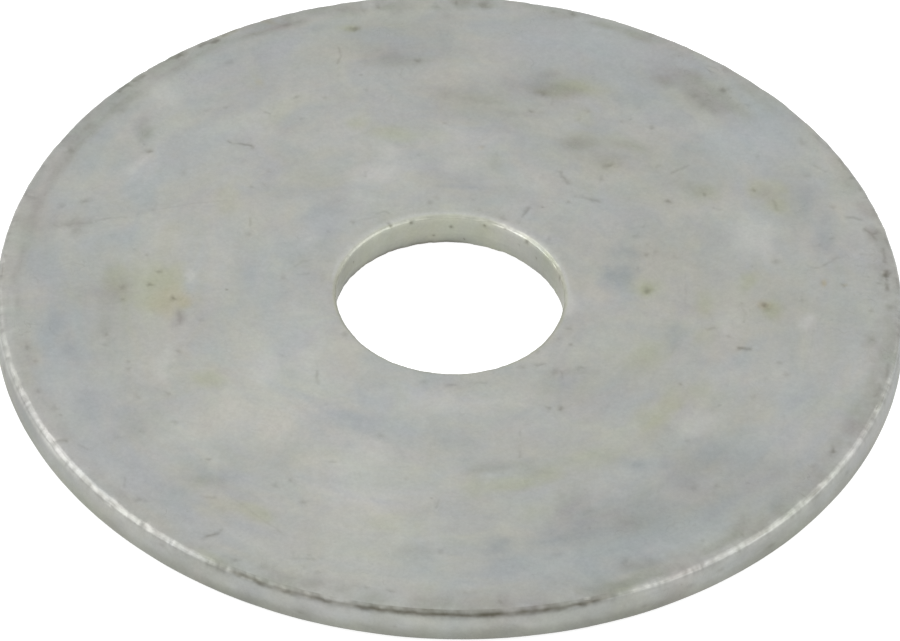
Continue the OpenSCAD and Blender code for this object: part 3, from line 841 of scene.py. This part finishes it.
def crest_wear(points, r, z, degrees):
    """Depth, darkness and painted shade along the outer rim's crest: rounding, nicks, the dark fold in
    front, whose dark is dirt and painted shade, and painted shade that dims the crest's highlight.
    """
    rounding, mean_rag, rag_depth, fine_depth, grain_depth = 0.008, 0.034, 0.034, 0.020, 0.012
    nick_share, nick_spread = 0.7, 1.2
    fold_depth, front_fold_depth, faint_fold = 0.003, 0.012, 0.05
    around = np.column_stack([CREST_R * points[:, 0] / r, CREST_R * points[:, 1] / r, 0.3 * z])
    rag = rough_noise(around, 0.8, seed=31)
    fine_rag = rough_noise(around, 0.26, seed=37)
    grain = rough_noise(points, 0.3, seed=39, octaves=2)
    ragged = mean_rag + rag_depth * rag + fine_depth * fine_rag + grain_depth * grain
    depth = rounding * by_edge(r, z, CREST, 0.45)
    depth += np.maximum(ragged, 0) * by_edge(r, z, CREST, 0.27)
    for middle, half, deep in CREST_NICKS:
        gap = arc_gap(degrees, middle, CREST_R)
        depth += nick_share * deep * hump(gap, nick_spread * half) * by_edge(r, z, CREST, 0.28)
    front = sector(degrees, *FOLD_SHADE_ARC)
    fold = crest_fold_and_shade(points, r, z)
    depth += fold * (fold_depth + front_fold_depth * front)
    flecks = np.clip(0.6 * fine_rag + 0.5 * rag, 0, 0.3) + 0.35 * sector(degrees, *CREST_FLECK_ARC)
    flecks *= by_edge(r, z, CREST, 0.30)
    # The fold is darkened by dirt and by painted shade, most in front; the flecks are dirt
    dark = np.maximum(fold * (faint_fold + (1 - faint_fold) * front), flecks)
    # Painted shade: the crest's colour is darkened to dim its highlight, raggedly, most on the left and
    # where the highlight ends, and not in front
    shaded_left, shaded_spot = (sector(degrees, *arc_ends) for arc_ends in SHADED_CREST_ARCS)
    crest_dimming = 1.3 + 2.0 * fine_rag + rag
    crest_dimming += 0.8 * shaded_left + 1.3 * shaded_spot
    tone = -crest_dimming * by_edge(r, z, CREST, 0.24) * (1 - front)
    return depth, dark, tone


def rim_wear(points, r, z, degrees):
    """Depth, darkness, low band, tone and blotches on the wall of the outer rim. The low band is stain and
    painted shade, and the tone is mostly painted light and shade.
    """
    drag_depth, wave_depth, speck_depth, speck_dark = 0.006, 0.010, 0.01, 0.35
    wall = ramp(r, OUTER_R - 0.5, OUTER_R - 0.1) * (1 - ramp(z, 1.26, 1.34))
    torn = wall * ramp(z, RIM_TORN_Z - 0.02, RIM_TORN_Z + 0.10)
    drag = rough_noise(points * [1, 1, 0.22], 0.16, seed=53, octaves=2)
    waves = rough_noise(points * [1, 1, 1.6], 1.3, seed=59, octaves=4)
    depth = drag_depth * torn * (drag + 1) + wave_depth * wall * (waves + 1)
    dark = np.zeros(len(points))
    for middle, height, half_w, half_h in RIM_SPECKS:
        gap = np.hypot(arc_gap(degrees, middle, OUTER_R) / half_w, (z - height) / half_h)
        spot = wall * hump(gap + 0.3 * drag)
        depth += speck_depth * spot
        dark = np.maximum(dark, speck_dark * spot)
    # The low band: stain colour and painted shade, darker towards the bottom
    low_stain_and_shade = wall * (1 - ramp(z + 0.25 * waves, 0.35, 0.95))
    blotches = np.clip(0.25 + 1.6 * rough_noise(points * [1, 1, 1.3], 1.0, seed=63, octaves=4), 0, 1)
    blotches += 1.2 * sector(degrees, *RIM_BLOTCH_ARC) * hump(z - 0.98, 0.24)
    blotches *= wall
    # Painted shade on the low band, mostly in front, and on the wall at left and right; a painted highlight
    # below the crest on the left; random tone from the waves
    tone = -low_stain_and_shade * (1.8 * sector(degrees, *RIM_LOW_SHADE_ARC) - 0.1)
    tone -= wall * (0.7 * sector(degrees, *RIM_SHADED_RIGHT_ARC) + 1.2 * sector(degrees, *RIM_SHADED_LEFT_ARC))
    tone += 2.4 * wall * sector(degrees, *RIM_LIT_ARC) * hump(z - 1.25, 0.12)
    tone += 0.9 * wall * waves
    return depth, dark, low_stain_and_shade, tone, blotches


def bore_wear(points, r, z, degrees):
    """Depth, darkness, staining and tone on the wall of the bore. The dark at its lower edge is painted
    shade, and the tone is painted light and shade.
    """
    wall = 1 - ramp(r, BORE_R + 0.12, BORE_R + 0.22)
    torn = wall * (1 - ramp(z, BORE_TORN_Z - 0.10, BORE_TORN_Z + 0.04))
    streaks = rough_noise(points * [1, 1, 0.2], 0.22, seed=61, octaves=2)
    waves = rough_noise(points, 0.8, seed=67)
    depth, dark = bore_depth(points, r, z, degrees, wall, torn, streaks, waves)
    stain = wall * np.clip(0.75 + 0.5 * waves, 0, 1)
    # Painted shade along the bore's lower edge, darkest on its far side
    mouth = hump(z - 0.03, 0.11) * (r < MOUTH_R + 0.12)
    mouth *= 0.15 + 0.6 * sector(degrees, *BORE_MOUTH_SHADE_ARC)
    dark = np.maximum(dark, mouth * np.clip(0.9 + streaks, 0, 1.2))
    return depth, dark, stain, bore_light_and_shade(r, z, degrees, wall, waves)


def bore_depth(points, r, z, degrees, wall, torn, streaks, waves):
    """Depth of the bore's wear, and darkness of its specks."""
    streak_depth, wave_depth, torn_depth, mouth_depth = 0.003, 0.006, 0.008, 0.010
    edge_depth, worn_depth, rag_depth, rounding = 0.016, 0.026, 0.020, 0.010
    speck_share, speck_dark, within_r = 0.3, 0.9, 5
    depth = wall * (streak_depth * (streaks + 1) + wave_depth * (waves + 1))
    depth += torn_depth * torn * (streaks + 1)
    dark = np.zeros(len(points))
    for middle, height, radius in BORE_SPECKS:
        gap = np.hypot(arc_gap(degrees, middle, BORE_R), z - height)
        spot = hump(gap / radius, 0.9) * (r < BORE_R + 0.3)
        depth += speck_share * radius * spot
        dark = np.maximum(dark, speck_dark * spot)
    depth += mouth_depth * by_edge(r, z, BORE_MOUTH, 0.16) * (r < within_r) * (streaks + 1)
    rag = rough_noise(points, 0.3, seed=69)
    ragged = edge_depth + worn_depth * sector(degrees, *BORE_WORN_ARC) + rag_depth * rag
    depth += ragged * by_edge(r, z, BORE_EDGE, 0.17)
    depth += rounding * hump(r - BORE_R, 0.42) * (z > THICKNESS - 0.3)
    return depth, dark


def bore_light_and_shade(r, z, degrees, wall, waves):
    """Painted light and shade on the bore's wall: a painted paler far side, painted glints near its top,
    painted shade on its left, its right and its foot, painted shade that dims its shoulder's highlight, and
    random tone.
    """
    foot = wall * (1 - ramp(z + 0.20 * waves, 0.05, 0.55)) * (0.2 + 0.8 * sector(degrees, *BORE_FOOT_SHADE_ARC))
    shaded = 2.4 * sector(degrees, *BORE_SHADED_ARC) * (1 - ramp(z, 1.26, 1.40))
    tone = 0.9 * sector(degrees, *BORE_LIT_FAR_ARC) - 0.5 * sector(degrees, *BORE_SHADED_RIGHT_ARC) - shaded
    tone += (1.0 + 1.6 * sector(degrees, *BORE_LIT_ARC)) * hump(z - 1.34, 0.09)
    # Painted shade that dims the highlight on the bore's shoulder
    tone -= 1.4 * by_edge(r, z, BORE_SHOULDER, 0.07)
    tone += 2.4 * sector(degrees, *BORE_GLINT_ARC) * by_edge(r, z, BORE_GLINT, 0.06)
    return wall * (tone + 0.7 * waves) - 1.9 * foot


def rim_strip(points, r, z, degrees):
    """Dirt on the drawn-down strip of the upper face, along the outer rim."""
    upper = z > CREST_Z - 0.08
    mottle = rough_noise(points, 0.8, seed=71, octaves=5)
    strokes = rough_noise(stretched(points, r), 0.7, seed=79, octaves=4)
    line_r = 16.62 + 0.20 * rough_noise(points, 2.4, seed=73)
    line = hump(r - line_r, 0.26) * np.clip(0.7 + 1.2 * strokes, 0.1, 1)
    line *= 0.1 + 0.8 * sector(degrees, *STRIP_LINE_ARC)
    dirty = np.full(len(r), 0.35)
    for start, end, soft, strength in STRIP_DIRT:
        dirty = np.maximum(dirty, strength * sector(degrees, start, end, soft))
    strip = ramp(r + 0.35 * mottle, 16.2, 17.0) * dirty
    return upper * np.maximum(line, strip * np.clip(0.6 + 1.1 * mottle, 0, 1))


def bore_ring_highlight(points, r, z, degrees):
    """A painted highlight: the pale ring round the top of the bore, widest on its right."""
    middle, mean_width, wider, widest_at = 0.20, 0.13, 0.20, -5
    width = mean_width * (1 + 0.5 * rough_noise(points, 0.9, seed=83))
    width += wider * hump(arc_gap(degrees, widest_at, BORE_R), 0.5)
    return (z > THICKNESS - 0.1) * hump((r - BORE_R - middle) / width) * sector(degrees, *BORE_RING_HIGHLIGHT_ARC)


def wear(skin):
    """Moves the skin's points into the metal, and gives the values that its material reads, painted light
    and shade among them.
    """
    face_r, level_share, wave_depth = 17.4, 0.9, 0.006
    points, outward = skin.points, skin.outward
    r = np.hypot(points[:, 0], points[:, 1])
    z = points[:, 2]
    degrees = np.degrees(np.arctan2(points[:, 1], points[:, 0])) % 360
    upper = outward[:, 2] > level_share
    level = np.abs(outward[:, 2]) > level_share
    on_face = upper & (r < face_r)

    # The lower face takes its waves from another part of the noise
    apart = [0, 0, 40] * (z < 0.5)[:, None]
    depth = wave_depth * (rough_noise(points + apart, 3.2, seed=11) + 1) * level
    mark_depth, mark_dark = mark_values(points, upper)
    crest_depth, crest_dark_and_shade, crest_shade = crest_wear(points, r, z, degrees)
    rim_depth, rim_dark, low_stain_and_shade, rim_tone_and_painted_light, blotches = rim_wear(points, r, z, degrees)
    hole_depth, hole_dark_and_shade, hole_stain, hole_light_and_shade = bore_wear(points, r, z, degrees)
    depth += mark_depth + crest_depth + rim_depth + hole_depth

    def patches(listed, seed, waver=0.5):
        """Soft patches, on the upper face alone."""
        return soft_patches(points, r, listed, seed, waver) * on_face

    face_tone, face_warmth = broad_tones(points, r)
    strip = rim_strip(points, r, z, degrees)
    ring = bore_ring_highlight(points, r, z, degrees)
    # A painted highlight just below the crest
    glow = rim_painted_highlight(r, z, degrees)
    shoulders = np.maximum(by_edge(r, z, CREST, 0.20), by_edge(r, z, BORE_SHOULDER, 0.09))
    # The rim's low band gives both stain colour and painted shade
    stains = [patches(STAIN_PATCHES, 113, waver=0.35), 0.7 * hole_stain, 0.35 * low_stain_and_shade]
    smudges = [patches(SMUDGE_PATCHES, 127, waver=0.45), 0.9 * strip, 0.45 * low_stain_and_shade, 0.35 * blotches]
    values = {
        # Dirt of pits, scratches and specks, and painted shade in the crest's fold and at the bore's lower
        # edge
        "grime": np.maximum.reduce([mark_dark, crest_dark_and_shade, rim_dark, hole_dark_and_shade]),
        "cool": patches(COOL_PATCHES, 101),
        "slate": patches(SLATE_PATCHES, 107),
        "stain": np.maximum.reduce(stains),
        "rust": patches(RUST_PATCHES, 119, waver=0.35),
        "smudge": np.maximum.reduce(smudges),
        # Pale patches, and the painted highlights of the bore's ring and below the crest
        "light": np.maximum.reduce([patches(PALE_AND_LIT_PATCHES, 131), 1.2 * ring, 0.8 * glow]),
        # Broad tones of the face, and painted light and shade on the crest, rim and bore
        "tone": face_tone * on_face + crest_shade + rim_tone_and_painted_light + hole_light_and_shade,
        "warmth": face_warmth * on_face,
        "burnish": shoulders,
    }
    return points - outward * np.maximum(depth, 0)[:, None], values


def rim_painted_highlight(r, z, degrees):
    """A painted highlight on the metal just below the crest, where the lamps' reflection spreads down, apart
    from where the fold is.
    """
    lit = np.maximum(sector(degrees, *LIT_LEFT_ARC), 0.75 * sector(degrees, *LIT_FRONT_ARC))
    lit *= 1 - sector(degrees, *UNLIT_ARC)
    return ramp(r, 16.85, 17.25) * ramp(z, 0.98, 1.22) * lit


def make_washer():
    """The washer's object, with its points' values as attributes."""
    skin = build_skin()
    points, values = wear(skin)
    faces = [tuple(face) for block in skin.faces for face in block.tolist()]
    mesh = bpy.data.meshes.new("washer_blank")
    mesh.from_pydata((points * MM).tolist(), [], faces)
    for name, numbers in values.items():
        attribute = mesh.attributes.new(name, "FLOAT", "POINT")
        attribute.data.foreach_set("value", numbers.astype(np.float32))
    mesh.polygons.foreach_set("use_smooth", np.ones(len(faces), bool))
    mesh.update()
    piece = bpy.data.objects.new("washer_blank", mesh)
    bpy.context.scene.collection.objects.link(piece)
    return piece


# The material

def linear(r, g, b):
    """A display colour of 0 to 255 as the linear colour that nodes take."""
    def one(c):
        c /= 255
        return c / 12.92 if c <= 0.04045 else ((c + 0.055) / 1.055) ** 2.4
    return (one(r), one(g), one(b), 1.0)


class Nodes:
    """Short ways to add and link nodes in one material or world."""

    def __init__(self, tree):
        self.tree = tree
        tree.nodes.clear()

    def add(self, kind, inputs=None, **settings):
        """Adds a node, with its settings and its inputs by name or number."""
        node = self.tree.nodes.new(kind)
        for key, value in settings.items():
            setattr(node, key, value)
        for key, value in (inputs or {}).items():
            self.feed(node.inputs[key], value)
        return node

    def feed(self, socket, value):
        """Links a socket, or sets it to a number or colour."""
        if isinstance(value, bpy.types.NodeSocket):
            self.tree.links.new(value, socket)
        else:
            socket.default_value = value

    def math(self, operation, a, b=0.0, clamp=False):
        """A number worked out from one or two others."""
        node = self.add("ShaderNodeMath", {0: a, 1: b}, operation=operation, use_clamp=clamp)
        return node.outputs[0]

    def plus(self, a, b, clamp=False):
        return self.math("ADD", a, b, clamp)

    def times(self, a, b, clamp=False):
        return self.math("MULTIPLY", a, b, clamp)

    def span(self, value, low, high, to_low=0.0, to_high=1.0):
        """Maps one span of numbers onto another, and holds at its ends."""
        inputs = {"Value": value, 1: low, 2: high, 3: to_low, 4: to_high}
        return self.add("ShaderNodeMapRange", inputs).outputs[0]

    def mix(self, share, a, b, blend="MIX"):
        """A share of colour b over colour a."""
        node = self.add("ShaderNodeMix", {0: share, 6: a, 7: b}, data_type="RGBA", blend_type=blend)
        return node.outputs[2]

    def noise(self, vector, scale, detail=3.0, rough=0.5, bend=0.0, output="Fac"):
        """Noise of so many blobs to the millimetre, as a number, or as a colour of three separate noises."""
        inputs = {"Vector": vector, "Scale": scale, "Detail": detail, "Roughness": rough, "Distortion": bend}
        return self.add("ShaderNodeTexNoise", inputs).outputs[output]

    def split(self, vector):
        """The three numbers of a vector or colour."""
        return list(self.add("ShaderNodeSeparateXYZ", {0: vector}).outputs)

    def scaled(self, vector, factor):
        """The vector times a number."""
        inputs = {0: vector, "Scale": factor}
        return self.add("ShaderNodeVectorMath", inputs, operation="SCALE").outputs[0]

    def value_of(self, name):
        """The washer's own value of this name."""
        return self.add("ShaderNodeAttribute", attribute_name=name).outputs["Fac"]


def nodes_of(owner):
    """The nodes of a material or world, cleared."""
    owner.use_nodes = True
    return Nodes(owner.node_tree)


# Colours of the plating and of what lies on it; the pale colour also paints highlights, and the darkest one
# also paints shade
CLEAR_COOL = linear(168, 171, 170)
CLEAR_WARM = linear(176, 176, 168)
PALE_AND_LIT = linear(185, 186, 181)
COOL = linear(166, 171, 172)
SLATE = linear(152, 157, 159)
STAIN = linear(169, 171, 152)
RUST = linear(171, 164, 142)
SMUDGE_BROWN = linear(154, 152, 147)
SMUDGE_OLIVE = linear(150, 152, 143)
# Dark colour of dirt, also used for painted shade
GRIME_AND_SHADE = linear(84, 80, 66)
# Casts that the plating's colour is multiplied by
PINK_CAST = (1.011, 0.992, 1.011, 1)
GREEN_CAST = (0.991, 1.008, 0.991, 1)
WHITE = (1, 1, 1, 1)


def marbling(n, mm, flat, reach):
    """Three separate noises, each in clouds and in strokes that run round the washer."""
    way = n.add("ShaderNodeVectorMath", {0: flat}, operation="NORMALIZE").outputs[0]
    round_x, round_y = n.split(n.scaled(way, STROKE_SCALE))[:2]
    drawn_out = n.add("ShaderNodeCombineXYZ", {0: round_x, 1: round_y, 2: n.times(reach, 1.1)}).outputs[0]
    clouds = n.noise(mm, 0.42, detail=5, rough=0.52, bend=0.8, output="Color")
    strokes = n.noise(drawn_out, 0.9, detail=5, rough=0.55, bend=0.5, output="Color")
    return n.split(n.mix(0.4, clouds, strokes))


def plating_colour(n, mm, flat, reach, mottle):
    """The plating's colour, marbled cool and warm, with its patches, stains and smudges, and painted light
    and shade.
    """
    hue, tint, level = marbling(n, mm, flat, reach)
    hue = n.plus(n.span(hue, 0.36, 0.64), n.times(n.value_of("warmth"), 0.52), clamp=True)
    colour = n.mix(hue, CLEAR_COOL, CLEAR_WARM)
    olive = n.plus(n.span(tint, 0.4, 0.6), n.span(reach, 17.30, 17.42), clamp=True)
    smudge = n.mix(olive, SMUDGE_BROWN, SMUDGE_OLIVE)
    # Each of the washer's values, its colour, and its least and most strength from stroke to stroke
    covers = [
        ("light", PALE_AND_LIT, 0.45, 1.2), ("cool", COOL, 0.45, 1.2), ("slate", SLATE, 0.45, 1.2),
        ("stain", STAIN, 0.6, 1.1), ("rust", RUST, 0.8, 1.0), ("smudge", smudge, 0.5, 1.1),
    ]
    for name, cover, least, most in covers:
        share = n.times(n.value_of(name), n.span(level, 0.38, 0.62, least, most), clamp=True)
        colour = n.mix(share, colour, cover)
    cast = n.mix(n.span(tint, 0.38, 0.62), PINK_CAST, GREEN_CAST)
    colour = n.mix(1.0, colour, cast, "MULTIPLY")
    speckle = n.noise(mm, 9.0, detail=3, rough=0.6)
    shade = n.times(n.span(level, 0.35, 0.65, 1.045, 0.955), n.span(mottle, 0.3, 0.7, 0.957, 1.043))
    shade = n.times(shade, n.span(speckle, 0.3, 0.7, 0.96, 1.04))
    # The tone value lightens and darkens the colour: broad tones of the face, and painted light and shade on
    # the crest, rim and bore
    shade = n.times(shade, n.span(n.value_of("tone"), -4.0, 4.0, 0.6, 1.4))
    grey = n.add("ShaderNodeCombineColor", {0: shade, 1: shade, 2: shade}).outputs[0]
    return n.mix(1.0, colour, grey, "MULTIPLY")


def specks(n, mm):
    """Scattered specks of dirt, most of them faint."""
    bend = n.scaled(n.noise(mm, 3.0, detail=2, output="Color"), 0.25)
    bent = n.add("ShaderNodeVectorMath", {0: mm, 1: bend}).outputs[0]
    cells = n.add("ShaderNodeTexVoronoi", {"Vector": bent, "Scale": 0.85})
    pick, fade = n.split(cells.outputs["Color"])[:2]
    size = n.span(pick, 0.35, 1.0, 0.0, 0.13)
    return n.times(n.span(cells.outputs["Distance"], size, 0.0), n.span(fade, 0.2, 1.0, 0.1, 0.5))


def rubs(n, mm, reach, mottle):
    """Faint rubs, as short squiggly lines in clusters, most of them near the outer rim."""
    ridge = n.math("ABSOLUTE", n.math("SUBTRACT", n.noise(mm, 1.1, detail=2, rough=0.6, bend=0.7), 0.5))
    strength = n.span(ridge, 0.014, 0.0, 0.0, 0.22)
    clusters = n.span(n.noise(mm, 0.55, detail=2), 0.50, 0.66)
    near_rim = n.span(reach, 12.0, 16.0, 0.5, 1.0)
    broken = n.span(mottle, 0.35, 0.65, 0.2, 1.0)
    for share in (clusters, near_rim, broken):
        strength = n.times(strength, share)
    return strength


def roughness(n, mottle, dirt):
    """Satin, rougher where it is stained, on dirt and painted shade, and on the worn edges."""
    rough = n.span(mottle, 0.3, 0.7, 0.34, 0.44)
    for cause, more in ((n.value_of("stain"), 0.06), (dirt, 0.2), (n.value_of("burnish"), 0.09)):
        rough = n.plus(rough, n.times(cause, more))
    return rough


def grain_bump(n, mm):
    """Grain of the plated steel, and fine rubbed lines."""
    rubbed = n.add("ShaderNodeVectorMath", {0: mm, 1: (1.2, 14, 3)}, operation="MULTIPLY").outputs[0]
    lines = n.noise(rubbed, 0.8, detail=3, rough=0.6, bend=0.4)
    height = n.plus(n.noise(mm, 8.0, detail=4, rough=0.65), n.times(lines, 0.5))
    bump = {"Strength": 1.0, "Distance": GRAIN_HEIGHT * MM, "Height": height}
    return n.add("ShaderNodeBump", bump).outputs[0]


def zinc_material():
    """Clear zinc plate on tumbled steel: a satin metal, marbled cool and warm, stained and dirty, with
    painted highlights and shade on its rims and bore.
    """
    material = bpy.data.materials.new("zinc_plate_worn")
    n = nodes_of(material)
    mm = n.scaled(n.add("ShaderNodeTexCoord").outputs["Object"], 1 / MM)
    x, y = n.split(mm)[:2]
    flat = n.add("ShaderNodeCombineXYZ", {0: x, 1: y}).outputs[0]
    reach = n.add("ShaderNodeVectorMath", {0: flat}, operation="LENGTH").outputs["Value"]
    mottle = n.noise(mm, 2.6, detail=5, rough=0.7)
    colour = plating_colour(n, mm, flat, reach, mottle)
    scattered = n.math("MAXIMUM", specks(n, mm), rubs(n, mm, reach, mottle))
    # Dirt, and painted shade, both drawn in the dark dirt colour
    dirt = n.math("MAXIMUM", n.times(n.value_of("grime"), 0.62), scattered, clamp=True)
    finish = {
        "Base Color": n.mix(dirt, colour, GRIME_AND_SHADE),
        "Metallic": 1.0,
        "Roughness": roughness(n, mottle, dirt),
        "Normal": grain_bump(n, mm),
    }
    shader = n.add("ShaderNodeBsdfPrincipled", finish)
    n.add("ShaderNodeOutputMaterial", {"Surface": shader.outputs[0]})
    return material


# The room

def background_rays(n):
    """1 for rays that show the background: from the camera, or mirrored or passed on by a surface."""
    path = n.add("ShaderNodeLightPath")
    seen = n.plus(path.outputs["Is Camera Ray"], path.outputs["Is Glossy Ray"])
    return n.plus(seen, path.outputs["Is Transmission Ray"], clamp=True)


def make_floor():
    """A wide white floor just under the washer, which takes its soft shadow."""
    grey = (0.5, 0.5, 0.5, 1)
    half = FLOOR_HALF * MM
    drop = -FLOOR_DROP * MM
    mesh = bpy.data.meshes.new("floor")
    corners = [(-half, -half, drop), (half, -half, drop), (half, half, drop), (-half, half, drop)]
    mesh.from_pydata(corners, [], [(0, 1, 2, 3)])
    floor = bpy.data.objects.new("floor", mesh)
    bpy.context.scene.collection.objects.link(floor)
    material = bpy.data.materials.new("white_floor")
    n = nodes_of(material)
    matt = n.add("ShaderNodeBsdfDiffuse", {"Color": grey})
    is_camera = n.add("ShaderNodeLightPath").outputs["Is Camera Ray"]
    seen = n.plus(n.times(background_rays(n), 0.42), n.times(is_camera, 0.36))
    glow = n.add("ShaderNodeEmission", {"Color": WHITE, "Strength": seen})
    both = n.add("ShaderNodeAddShader", {0: matt.outputs[0], 1: glow.outputs[0]})
    n.add("ShaderNodeOutputMaterial", {"Surface": both.outputs[0]})
    mesh.materials.append(material)


def make_world():
    """Even white light from all round, a little darker low in front, and white where the camera sees it."""
    dark_elevation, darkest = math.radians(28), 0.78
    world = bpy.data.worlds.new("studio")
    bpy.context.scene.world = world
    n = nodes_of(world)
    way = n.add("ShaderNodeTexCoord").outputs["Generated"]
    front = (0, -math.cos(dark_elevation), math.sin(dark_elevation))
    facing = n.add("ShaderNodeVectorMath", {0: way, 1: front}, operation="DOT_PRODUCT").outputs["Value"]
    level = n.span(facing, 0.55, 0.95, 1.0, darkest)
    is_camera = n.add("ShaderNodeLightPath").outputs["Is Camera Ray"]
    level = n.add("ShaderNodeMix", {0: is_camera, 2: level, 3: 1.0}, data_type="FLOAT").outputs[0]
    background = n.add("ShaderNodeBackground", {"Color": WHITE, "Strength": level})
    n.add("ShaderNodeOutputWorld", {"Surface": background.outputs[0]})


def make_softbox(name, azimuth, elevation, width, height, brightness):
    """A soft lamp that faces the washer. Brightness is that of its face, 1 for white."""
    watts_per_area = 4
    light = bpy.data.lights.new(name, "AREA")
    light.shape = "RECTANGLE"
    light.size = width * MM
    light.size_y = height * MM
    light.energy = watts_per_area * brightness * light.size * light.size_y
    lamp = bpy.data.objects.new(name, light)
    a, e = math.radians(azimuth), math.radians(elevation)
    way = Vector((math.cos(a) * math.cos(e), math.sin(a) * math.cos(e), math.sin(e)))
    lamp.location = way * SOFTBOX_DISTANCE * MM
    lamp.rotation_euler = way.to_track_quat("Z", "Y").to_euler()
    bpy.context.scene.collection.objects.link(lamp)


def make_camera():
    """The photograph's camera, in front and above, turned a little about its own axis."""
    e, roll = math.radians(CAMERA_ELEVATION), math.radians(CAMERA_ROLL)
    back = Vector((0, -math.cos(e), math.sin(e)))
    level_right = Vector((1, 0, 0))
    level_up = back.cross(level_right)
    right = level_right * math.cos(roll) + level_up * math.sin(roll)
    up = back.cross(right)
    place = (back * CAMERA_DISTANCE + right * CAMERA_AIM[0] + up * CAMERA_AIM[1]) * MM
    data = bpy.data.cameras.new("camera")
    data.sensor_width = SENSOR_W
    data.lens = CAMERA_LENS
    data.clip_start, data.clip_end = CAMERA_CLIP
    camera = bpy.data.objects.new("camera", data)
    camera.matrix_world = Matrix.Translation(place) @ Matrix((right, up, back)).transposed().to_4x4()
    bpy.context.scene.collection.objects.link(camera)
    bpy.context.scene.camera = camera


make_camera()
make_floor()
make_world()
make_softbox("softbox_left", azimuth=180, elevation=38, width=620, height=460, brightness=1.52)
make_softbox("softbox_right", azimuth=-2, elevation=38, width=560, height=420, brightness=1.26)

washer = make_washer()
washer.data.materials.append(zinc_material())
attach(washer, "root")
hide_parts(NODE)

bpy.context.scene.view_settings.view_transform = "Standard"


bpy.context.view_layer.update()
